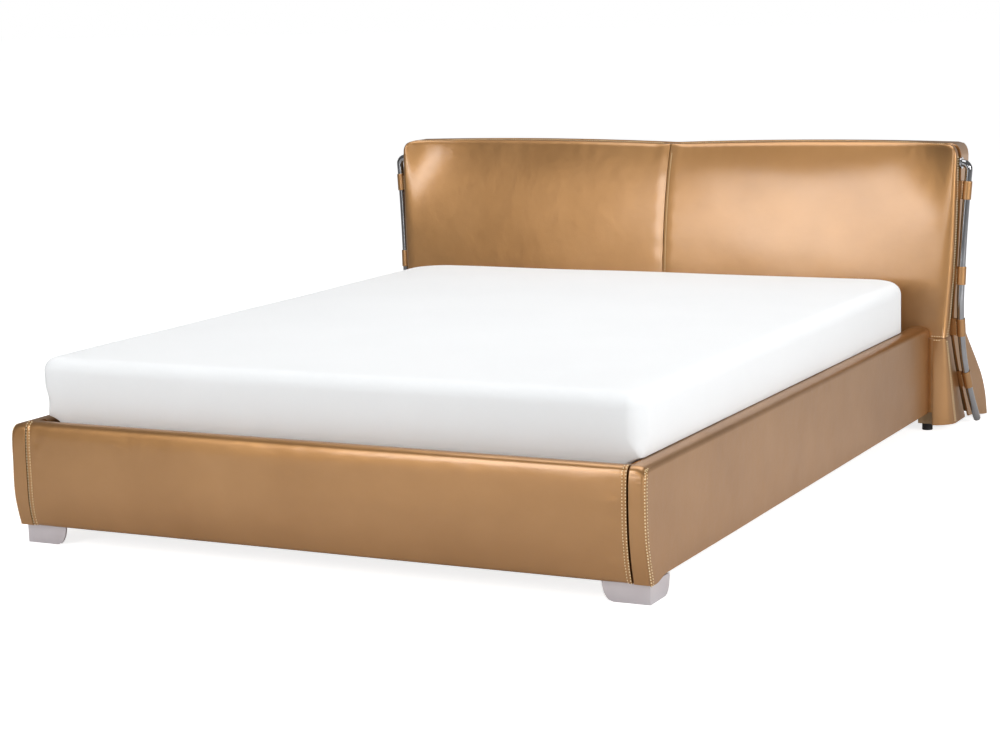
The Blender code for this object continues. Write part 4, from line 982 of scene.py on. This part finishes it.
def make_cushion(side_name, side):
    """Padded half of the headboard, cut square at the centre seam and at the waist."""
    low = HEAD_WAIST + CLEAR
    size = (HEAD_SIDE_TOP, CUSHION_THICK, HEAD_TOP - low)
    half = np.array(size) / 2
    shares = grid_steps(size, CUSHION_GRID)

    def place(local):
        near = bump_at((local[:, 0] + 1) * half[0], 0.0, CUSHION_SEAM_RUN)
        radii = CUSHION_EDGE + (CUSHION_SEAM_EDGE - CUSHION_EDGE) * near
        share, back, rise = (rounded_column(local, half, radii, False) / half + 1).T / 2
        z = low + rise * (top_z(share) - low)
        x = SEAM_HALF_GAP + share * (side_x(z) - SEAM_HALF_GAP)
        front = face_y(share, z) + SEAM_DEPTH * bump_at(x, 0.0, SEAM_REACH)
        return np.column_stack([side * x, front + back * (back_y(share, z) - front), z])

    cushion = block("headboard_cushion_pad_" + side_name, shares, place, GOLD)

    def relief(points, normals):
        x, _, z = points.T
        x = np.abs(x)
        top = bump_at(HEAD_TOP - z, *TOP_BAND) * wave(points, "cushion_top", side)
        pulls = np.sin(z / SEAM_PULL_PITCH + wave(points, "cushion_pull_turn"))
        pulls *= SEAM_PULL_HEIGHT * bump_at(x, *SEAM_PULL_BAND)
        foot = bump_at(z - HEAD_WAIST, *GATHER_RISE) * bump_at(HALF_WIDTH - x, *GATHER_INSET)
        folds = wave(points, "cushion_swell", side) + foot * wave(points, "cushion_gathers", side)
        return (folds + top + pulls) * fade(-normals[:, 1], *FACING) - CUSHION_SINK

    emboss(cushion, relief)
    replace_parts(cushion, "headboard_cushion_" + side_name)
    heights = np.linspace(low + 0.004, HEAD_TOP - 0.035, 90)
    paths = [[(side * side_x(z), face_y(1.0, z) + setback, z) for z in heights]
             for setback in SIDE_ROWS]
    paths.append([(side * share * side_x(HEAD_TOP), face_y(share, top_z(share)) + TOP_ROW,
                   top_z(share)) for share in np.linspace(0.03, 0.955, 120)])
    if side > 0:
        paths.append([(SEAM_ROW, face_y(0.0, z) + SEAM_DEPTH / 2, z) for z in heights])
    paths.append([(side * x, HEAD_FRONT, low + 0.006)
                  for x in np.linspace(HALF_WIDTH + 0.004, HEAD_SIDE_WAIST, 8)])
    stitch_row("cushion_stitches_" + side_name, paths, cushion)


def make_side_panel(side_name, side):
    """Padded end below the waist: flush with the wrap inside, receding outwards and downwards."""
    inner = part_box("headboard_side_panel_right")[0].x
    height = HEAD_WAIST - HEM_LIFT
    size = (PANEL_WIDTH, PANEL_DEPTH, height)
    half = np.array(size) / 2

    def place(local):
        radii = PANEL_EDGE * fade(local[:, 0], -0.9, -0.2) + PANEL_INNER_EDGE
        outward, back, rise = (rounded_column(local, half, radii, True) / half + 1).T / 2
        z = HEM_LIFT + rise * height
        front = HEAD_FRONT - WRAP_DEPTH + PAD_TURN * outward ** 2.5
        setback = HEM_SETBACK + WRAP_DEPTH - PAD_TURN
        front += setback * outward ** 1.5 * (HEAD_WAIST - z) / height
        rear = gap_y(z) - GAP_WIDTH / 2
        x = inner + outward * (side_x(z) - inner)
        return np.column_stack([side * x, front + back * (rear - front), z])

    shares = grid_steps(size, PANEL_GRID)
    panel = block("headboard_end_pad_" + side_name, shares, place, GOLD)

    def relief(points, normals):
        outer = fade(side * normals[:, 0] - normals[:, 1], *FACING)
        return wave(points, "pad_swell", side) * outer - PANEL_SINK

    emboss(panel, relief)
    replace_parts(panel, "headboard_side_panel_" + side_name)
    heights = np.linspace(HEM_LIFT + 0.008, HEAD_WAIST - 0.004, 50)
    slope = HEM_SETBACK / height
    paths = [[(side * side_x(z), HEAD_FRONT + slope * (HEAD_WAIST - z) + setback, z)
              for z in heights] for setback in SIDE_ROWS]
    paths.append([(side * x, HEAD_FRONT, HEAD_WAIST - 0.005)
                  for x in np.linspace(inner + 0.004, HEAD_SIDE_WAIST - 0.01, 12)])
    stitch_row("end_pad_stitches_" + side_name, paths, panel)


def make_wraps():
    """Leather over the ends of the lower rail, between the side rails and the end pads."""
    low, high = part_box("headboard_bottom_rail")
    outer = high.x - CLEAR
    size = (WRAP_WIDTH, WRAP_DEPTH, high.z - low.z)
    shares = grid_steps(size, WRAP_GRID)
    half = np.array(size) / 2
    middle = np.array((outer - half[0], low.y - CLEAR - half[1], (low.z + high.z) / 2))
    for side_name, side in SIDES:

        def place(local):
            points = rounded(local, half, WRAP_EDGE) + middle
            points[:, 1] += wave(points, "wrap_swell", side) * (points[:, 1] < middle[1])
            return points * (side, 1, 1)

        wrap = block("headboard_wrap_" + side_name, shares, place, GOLD)
        heights = np.linspace(low.z + 0.01, high.z - 0.01, 40)
        path = [(side * (outer - 0.004), low.y, z) for z in heights]
        stitch_row("wrap_stitches_" + side_name, [path], wrap)


def make_shell():
    """Leather shell round the back, sides and top of the headboard, open in front and below."""
    size = (2 * HEAD_SIDE_TOP, SHELL_DEPTH, HEAD_TOP - HEM_LIFT)
    half = np.array(size) / 2
    local, faces = grid_skin(grid_steps(size, SHELL_GRID), ((1, -1), (2, -1)))
    level = GAP_BEND_HEIGHT - SHELL_SEAM_DROP

    def skin(wall):
        room = half - SHELL_EDGE
        points = local * half
        core = np.minimum(points, room)
        core[:, 0] = np.maximum(core[:, 0], -room[0])
        points = pushed_out(points, core, SHELL_EDGE) / half
        back, rise = (points[:, 1:].T + 1) / 2
        top = top_z(np.abs(points[:, 0])) + SHELL_TOP_PROUD - wall
        low = HEM_LIFT - SHELL_HEM_DROP * fade(points[:, 1], -0.9, 0.8)
        z = low + rise * (top - low)
        front = back_y(np.abs(points[:, 0]), z) + GAP_WIDTH
        flare = SIDE_FLARE * np.clip((SIDE_FLARE_TOP - z) / SIDE_FLARE_RUN, 0, 1)
        flare = flare * back ** SIDE_FLARE_POWER
        x = points[:, 0] * (side_x(z) + flare + SHELL_PROUD - wall)
        placed = np.column_stack([x, front + back * (shell_y(z) - wall - front), z])
        behind = fade(points[:, 1], -0.9, 0.0)
        placed[:, 1] += wave(placed, "shell_swell") * behind
        placed[:, 1] += bump_at(z, *FOLD_BAND) * wave(placed, "shell_folds") * behind
        welt = bump_at(placed[:, 0], 0.0, WELT_REACHES[0]) + bump_at(z, level, WELT_REACHES[1])
        placed[:, 1] += WELT_HEIGHT * welt * behind * (wall == 0)
        return placed

    points = np.vstack([skin(0.0), skin(SHELL_THICK)])
    count = len(local)
    edges = {}
    for face in faces:
        for a, b in zip(face, face[1:] + face[:1]):
            edges[frozenset((a, b))] = edges.get(frozenset((a, b)), 0) + 1
    rim = [tuple(edge) for edge, uses in edges.items() if uses == 1]
    walls = faces + [[v + count for v in face] for face in faces]
    walls += [(a, b, b + count, a + count) for a, b in rim]
    shell = add_mesh("headboard_back_shell", points, walls, GOLD)
    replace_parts(shell, "headboard_shell")
    paths = [[(x, shell_y(z), z) for z in np.linspace(HEM_LIFT + 0.01, HEAD_TOP - 0.03, 150)]
             for x in (-SHELL_ROW, SHELL_ROW)]
    for z in (level - SHELL_ROW, level + SHELL_ROW):
        paths.append([(x, shell_y(z), z) for x in np.linspace(-SEAM_HALF, SEAM_HALF, 200)])
    paths.append([(x, shell_y(HEM_LIFT), HEM_LIFT + HEM_ROW)
                  for x in np.linspace(-HEM_HALF, HEM_HALF, 200)])
    stitch_row("shell_stitches", paths, shell)


# Tubes and loops


def tube_x(z):
    """Distance of the tube from the middle of the bed."""
    end = HEM_LIFT if z < HEAD_WAIST else TUBE_BEND_START
    bow = ((z - HEAD_WAIST) / (end - HEAD_WAIST)) ** 2
    return float(TUBE_STANDOFF + side_x(HEAD_WAIST) + (side_x(end) - side_x(HEAD_WAIST)) * bow)


def tube_path(side):
    """The tube's middle line, from the floor's side up the gap and inwards to its socket."""
    points = []
    for z in np.linspace(TUBE_LOW, TUBE_BEND_START, 70):
        points.append((side * tube_x(z), float(gap_y(z)), float(z)))
    y = float(gap_y(TUBE_BEND_START))
    centre = (tube_x(TUBE_BEND_START) - TUBE_BEND_RADIUS, TUBE_BEND_START)
    for x, z in arc(centre, TUBE_BEND_RADIUS, 0, 90, ROUND_STEPS)[1:]:
        points.append((side * x, y, z))
    socket_z = TUBE_BEND_START + TUBE_BEND_RADIUS
    points.append((side * float(side_x(socket_z) + SHELL_PROUD + CLEAR), y, socket_z))
    return points


def make_tube(side_name, side):
    """Round chrome tube with a softened lower end."""
    path = [Vector(point) for point in tube_path(side)]
    run = (path[1] - path[0]).normalized()
    points = [path[0] + run * TUBE_EDGE * place for place, _ in TUBE_END] + path[1:]
    radii = [TUBE_RADIUS - TUBE_EDGE * amount for _, amount in TUBE_END]
    radii += [TUBE_RADIUS] * (len(points) - len(radii))
    angles = [2 * math.pi * turn / TUBE_SIDES for turn in range(TUBE_SIDES)]
    spoke = Vector((0.0, 1.0, 0.0))
    rings = []
    for number, (point, radius) in enumerate(zip(points, radii)):
        run = (points[min(number + 1, len(points) - 1)] - points[max(number - 1, 0)]).normalized()
        spoke = (spoke - run * spoke.dot(run)).normalized()
        other = run.cross(spoke)
        rings.append([point + (spoke * math.cos(a) + other * math.sin(a)) * radius for a in angles])
    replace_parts(loft("chrome_tube_" + side_name, rings, CHROME), "side_tube_" + side_name)


def make_loop(side_name, side, number, share):
    """A strap folded round the tube, with both ends tucked into the side gap."""
    level = TUBE_LOW + share * (TUBE_BEND_START - TUBE_LOW)
    bore = TUBE_RADIUS + LOOP_SLACK
    outer = bore + LOOP_LEATHER
    tab = math.degrees(math.asin(LOOP_TAB / 2 / outer))
    reach = TUBE_STANDOFF + LOOP_TUCK
    outline = arc((0.0, 0.0), outer, -180 + tab, 180 - tab, LOOP_STEPS)
    outline += [(-reach * k, LOOP_TAB / 2) for k in (0.6, 0.8, 1.0)]
    outline += [(-reach, LOOP_SLIT), (-outer, LOOP_SLIT)]
    outline += arc((0.0, 0.0), bore, 179, -179, LOOP_STEPS)
    outline += [(-outer, -LOOP_SLIT), (-reach, -LOOP_SLIT)]
    outline += [(-reach * k, -LOOP_TAB / 2) for k in (1.0, 0.8, 0.6)]
    outline = np.array(outline)
    half = LOOP_HEIGHT / 2
    below, above = [Vector((side * tube_x(z), float(gap_y(z)), z))
                    for z in (level - half, level + half)]
    turn = Vector((0.0, 0.0, 1.0)).rotation_difference(above - below).to_matrix().to_4x4()
    matrix = Matrix.Translation((above + below) / 2) @ turn
    rings = []
    for height, amount in run_stations(-half, half, LOOP_ROUND, LOOP_STEP, 4):
        flat = inset(outline, min(amount, LOOP_EDGE))
        rings.append([matrix @ Vector((side * x, y, height)) for x, y in flat])
    loop = loft(f"leather_loop_{side_name}_{number}", rings, GOLD)
    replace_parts(loop, f"tube_loop_{side_name}_{number}")
    heights = np.linspace(0.004 - half, half - 0.004, 8)
    paths = [[matrix @ Vector((side * outer * math.cos(a), outer * math.sin(a), h))
              for h in heights] for a in np.radians((150, -150))]
    stitch_row(f"loop_stitches_{side_name}_{number}", paths, loop)


# Mattress


def plan_outline(half_x, half_y, corners, middle_y):
    """A rectangle with rounded corners, front and rear radii apart, and a fixed count of points."""
    bends = []
    for cx, cy, start in ((1, 1, 0), (-1, 1, 90), (-1, -1, 180), (1, -1, 270)):
        corner = corners[0] if cy < 0 else corners[1]
        centre = (cx * (half_x - corner), middle_y + cy * (half_y - corner))
        bends.append(np.array(arc(centre, corner, start, start + 90, ROUND_STEPS)))
    outline = []
    for number, bend in enumerate(bends):
        following = bends[(number + 1) % 4]
        straight = np.linspace(bend[-1], following[0], PLAN_COUNTS[number % 2] + 1)
        outline += [bend, straight[1:-1]]
    return np.vstack(outline)


def slab(name, rows, middle_y, material, closed_run=False):
    """An upright form: each row is a height, two half sizes and the corner radii."""
    rings = []
    for z, half_x, half_y, corners in rows:
        flat = plan_outline(half_x, half_y, corners, middle_y)
        rings.append(np.column_stack([flat, np.full(len(flat), z)]))
    return loft(name, rings, material, closed_run)


def drawn_in(z, half, corners, amount):
    """A slab row moved inwards by an amount."""
    radii = tuple(max(corner - amount, LEAST_CORNER) for corner in corners)
    return z, half[0] - amount, half[1] - amount, radii


def sides_of(node):
    """Half sizes, middle, bottom and top of a node."""
    low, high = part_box(node)
    return ((high.x - low.x) / 2, (high.y - low.y) / 2), (low.y + high.y) / 2, low.z, high.z


def spread_half(z, half_x):
    """Half width of the mattress at a height: it lies against the rails and swells above them."""
    fall = np.clip((RAIL_TOP - z) / RAIL_INNER_FALL, 0, 1)
    inside = RAIL_CREST + (RAIL_THICK - RAIL_CREST) * math.sqrt(1 - (1 - fall) ** 2)
    rise = RAIL_ROOM_RISE * fade(z, RAIL_TOP, RAIL_TOP + RAIL_ROOM_RUN)
    return min(half_x + MATTRESS_SWELL, HALF_WIDTH - inside - RAIL_ROOM + rise)


def make_mattress():
    """Thick white cover, hollow below for what lies in it, that swells over the rails."""
    half, middle_y, low, high = sides_of("mattress_top_cover")
    top = high - MATTRESS_SHORT
    room = (half[0] - MATTRESS_TUCK - COVER_WALL, half[1] - MATTRESS_TUCK - COVER_WALL)
    ceiling = high - COVER_TOP_PAD - COVER_TOP_GAP
    rows = [drawn_in(ceiling, room, SMALL_CORNERS, room[0] * 0.9 * share)
            for share in np.linspace(1, 0, 8)]
    rows += [drawn_in(z, room, SMALL_CORNERS, 0.0) for z in np.linspace(ceiling, low, 12)[1:]]
    for z in np.linspace(low, top - MATTRESS_SHOULDER, 28):
        tuck = MATTRESS_HEM * (1 - fade((z - low) / (top - low), 0.02, 0.25))
        blend = fade(z, *LOW_CORNER_RISE)
        corner = MATTRESS_LOW_CORNER + (MATTRESS_CORNERS[0] - MATTRESS_LOW_CORNER) * blend
        wide = (spread_half(z, half[0]), half[1] - tuck)
        rows.append(drawn_in(z, wide, (corner, MATTRESS_CORNERS[1]), 0.0))
    for angle in np.radians(np.linspace(0, 90, 11)[1:]):
        z = top - MATTRESS_SHOULDER * (1 - math.sin(angle))
        wide = (spread_half(z, half[0]), half[1])
        inwards = MATTRESS_SHOULDER * (1 - math.cos(angle))
        rows.append(drawn_in(z, wide, MATTRESS_CORNERS, inwards))
    for share in np.linspace(0, 0.98, 40)[1:]:
        z = top + MATTRESS_CROWN * (1 - (1 - share) ** 2.2)
        inwards = MATTRESS_SHOULDER + (half[0] - MATTRESS_SHOULDER) * share
        wide = (half[0] + MATTRESS_SWELL * (1 - share), half[1])
        z, half_x, half_y, corners = drawn_in(z, wide, MATTRESS_CORNERS, inwards)
        rows.append((z, half_x, half_y, tuple(corner * (1 - share) for corner in corners)))
    cover = slab("mattress_cover", rows, middle_y, WHITE_CLOTH)
    front = middle_y - half[1]
    for vertex in cover.data.vertices:
        x, y, z = vertex.co
        below = 1 - fade(z, *CORNER_DRAW_RISE)
        near_foot = 1 - fade(y - front, *CORNER_DRAW_RUN)
        vertex.co.x += CORNER_DRAW * float(below * near_foot * fade(-x, 0.6, half[0]))

    def relief(points, normals):
        skin = fade(points[:, 2], low + 0.05, high) * fade(normals[:, 2], -0.2, 0.2)
        return wave(points, "mattress_swell") * skin

    emboss(cover, relief)
    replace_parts(cover, "mattress_top_cover")


def make_tray(name, node, corners, walls, material):
    """An open tray with a wall and a floor."""
    half, middle_y, low, high = sides_of(node)
    wall, floor = walls
    shares = np.linspace(0, 1, 6)
    fan = half[0] * 0.9
    places = [(low, fan * (1 - share)) for share in shares]
    places += [(z, 0.0) for z in np.linspace(low, high, 6)[1:]]
    places += [(z, wall) for z in np.linspace(high, low + floor, 6)]
    places += [(low + floor, wall + fan * share) for share in shares[1:]]
    rows = [drawn_in(z, half, corners, amount) for z, amount in places]
    tray = slab(name, rows, middle_y, material)
    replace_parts(tray, node)
    return tray


def make_foam():
    """Foam edge round the water, with softened rims."""
    half, middle_y, low, high = sides_of("foam_frame")
    pocket = sides_of("safety_liner")[0]
    places = ((low, 0.003), (low + 0.003, 0.0), ((low + high) / 2, 0.0), (high - 0.006, 0.0),
              (high - 0.002, 0.002), (high, 0.006))
    rows = [drawn_in(z, half, SMALL_CORNERS, amount) for z, amount in places]
    rows += [drawn_in(z, pocket, POCKET_CORNERS, -amount - CLEAR) for z, amount in places[::-1]]
    foam = slab("foam_surround", rows, middle_y, FOAM, closed_run=True)
    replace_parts(foam, "foam_frame")


def make_water_core():
    """Filled bladder with a weld round its middle, and the filler neck under the cap."""
    half, middle_y, low, high = sides_of("water_core")
    cap_low, cap_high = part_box("valve_cap")
    cap = (cap_low + cap_high) / 2
    top = cap_low.z - CLEAR
    fan = (half[0] - CORE_EDGE) * 0.95
    places = [(low, CORE_EDGE + fan * share) for share in np.linspace(1, 0, 10)]
    for end, turn in ((low + CORE_EDGE, -90), (top - CORE_EDGE, 0)):
        for angle in np.radians(np.linspace(turn, turn + 90, 9)):
            rise = CORE_EDGE * math.sin(angle)
            places.append((end + rise, CORE_EDGE * (1 - math.cos(angle))))
    places += [(top, CORE_EDGE + fan * share) for share in np.linspace(0, 1, 24)[1:]]
    rows = [drawn_in(z, half, POCKET_CORNERS, amount) for z, amount in places]
    core = slab("water_bladder", rows, middle_y, CORE_VINYL)

    def relief(points, normals):
        x, y, z = points.T
        away = np.hypot(x - cap.x, y - cap.y)
        upper = fade(normals[:, 2], *FACING) * fade(away, *NECK_ROOM)
        weld = WELD_HEIGHT * bump_at(z, (low + top) / 2, WELD_REACH)
        sink = CORE_SINK + CORE_SIDE_SINK * (1 - upper)
        return wave(points, "core_swell") * upper + weld - sink

    emboss(core, relief)
    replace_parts(core, "water_core")
    turns = np.radians(np.arange(0, 360, 7.5))
    rings = [[(cap.x + radius * math.cos(a), cap.y + radius * math.sin(a), top + rise)
              for a in turns] for radius, rise in NECK_PROFILE]
    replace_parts(loft("water_bladder_neck", rings, CORE_VINYL), "water_core")


def make_heater():
    """Flat rubber mat with faint ribs over its wires."""
    low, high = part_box("heater_pad")
    width, length, height = high - low
    size = (width, height, length)
    middle = np.array((low + high) / 2)

    def place(local):
        x, z, y = rounded(local, np.array(size) / 2, HEATER_EDGE).T
        ribs = HEATER_RIB * bump_at(np.sin(x / HEATER_PITCH), 1.0, HEATER_RIB_SHARE)
        ribs *= (np.abs(y) < length / 2 - HEATER_RIM) * (z > 0)
        return np.column_stack([x, y, z - ribs]) + middle

    heater = block("heater_mat", grid_steps(size, HEATER_GRID), place, HEATER)
    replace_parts(heater, "heater_pad")


# Stage, lights and camera


def make_stage():
    """A white floor that keeps the bed's shadow; in reflections only it glows a little, more so
    behind, as a painted reflection on metal.
    """
    mesh = bpy.data.meshes.new("floor")
    corners = ((-1, -1), (1, -1), (1, 1), (-1, 1))
    places = [(x * FLOOR_REACH, y * FLOOR_REACH, 0) for x, y in corners]
    mesh.from_pydata(places, [], [(0, 1, 2, 3)])
    floor = bpy.data.objects.new("floor", mesh)
    bpy.context.scene.collection.objects.link(floor)
    material, tree, shader = new_material("floor")
    rays = add_node(tree, "LightPath").outputs
    place = add_node(tree, "SeparateXYZ", Vector=add_node(tree, "TexCoord").outputs["Object"])
    # Glow that only glossy rays see: a painted reflection, stronger behind the bed
    painted_reflection = add_node(tree, "MapRange", Value=place.outputs["Y"], From_Min=BACK_START,
                         From_Max=BACK_END, To_Min=FLOOR_GLOW[1], To_Max=PAINTED_BACK_REFLECTION)
    glossy = multiply_add(tree, painted_reflection.outputs["Result"], rays["Is Glossy Ray"], 0.0)
    strength = multiply_add(tree, rays["Is Camera Ray"], FLOOR_GLOW[0], glossy)
    fill(tree, shader, Base_Color=FLOOR_TONE, Roughness=0.9, Specular_IOR_Level=0.1,
         Emission_Color=WHITE, Emission_Strength=strength)
    mesh.materials.append(material)


def make_world():
    """A studio that is brighter above and towards the head, and pure white to the camera."""
    world = bpy.data.worlds.new("studio")
    bpy.context.scene.world = world
    world.use_nodes = True
    tree = world.node_tree
    toward = add_node(tree, "VectorMath")
    toward.operation = "DOT_PRODUCT"
    put(tree, toward.inputs[0], add_node(tree, "TexCoord").outputs["Generated"])
    put(tree, toward.inputs[1], WORLD_TOWARD)
    level = add_node(tree, "MapRange", Value=toward.outputs["Value"], From_Min=-1.0,
                     To_Min=WORLD_LEVELS[0], To_Max=WORLD_LEVELS[1])
    strength = add_node(tree, "MapRange", To_Min=level.outputs["Result"], To_Max=1.0,
                        Value=add_node(tree, "LightPath").outputs["Is Camera Ray"])
    fill(tree, tree.nodes["Background"], Color=WHITE, Strength=strength.outputs["Result"])


def make_lights():
    """Soft boxes above, in front, at both sides and behind."""
    for name, place, aim, size, power in LAMPS:
        lamp = bpy.data.lights.new(name, "AREA")
        lamp.shape = "RECTANGLE"
        lamp.size, lamp.size_y = size
        lamp.energy = power
        holder = bpy.data.objects.new(name, lamp)
        bpy.context.scene.collection.objects.link(holder)
        holder.location = place
        holder.rotation_mode = "QUATERNION"
        holder.rotation_quaternion = (Vector(aim) - Vector(place)).to_track_quat("-Z", "Y")


def make_camera():
    """The photograph's camera."""
    camera = bpy.data.cameras.new("camera")
    camera.lens = LENS
    camera.sensor_width = SENSOR
    camera.clip_end = 200.0
    holder = bpy.data.objects.new("camera", camera)
    bpy.context.scene.collection.objects.link(holder)
    right = Vector(CAMERA_RIGHT)
    down = Vector(CAMERA_DOWN)
    ahead = right.cross(down)
    turn = Matrix((right, -down, -ahead)).transposed().to_4x4()
    holder.matrix_world = Matrix.Translation(CAMERA_PLACE) @ turn
    bpy.context.scene.camera = holder


def main():
    bpy.context.scene.view_settings.view_transform = "Standard"
    make_camera()
    make_world()
    make_lights()
    make_stage()
    dress_nodes()
    make_footboard()
    for side_name, side in SIDES:
        make_front_foot(side_name, side)
        make_rail(side_name, side)
        make_cushion(side_name, side)
        make_side_panel(side_name, side)
        make_tube(side_name, side)
        for number, share in enumerate(LOOP_LEVEL_SHARES):
            make_loop(side_name, side, number + 1, share)
    make_shell()
    make_wraps()
    make_mattress()
    base = make_tray("mattress_base", "mattress_base_cover", SMALL_CORNERS, BASE_WALLS,
                     WHITE_CLOTH)
    make_foam()
    make_tray("liner_tray", "safety_liner", POCKET_CORNERS, LINER_WALLS, LINER)
    make_water_core()
    make_heater()


main()
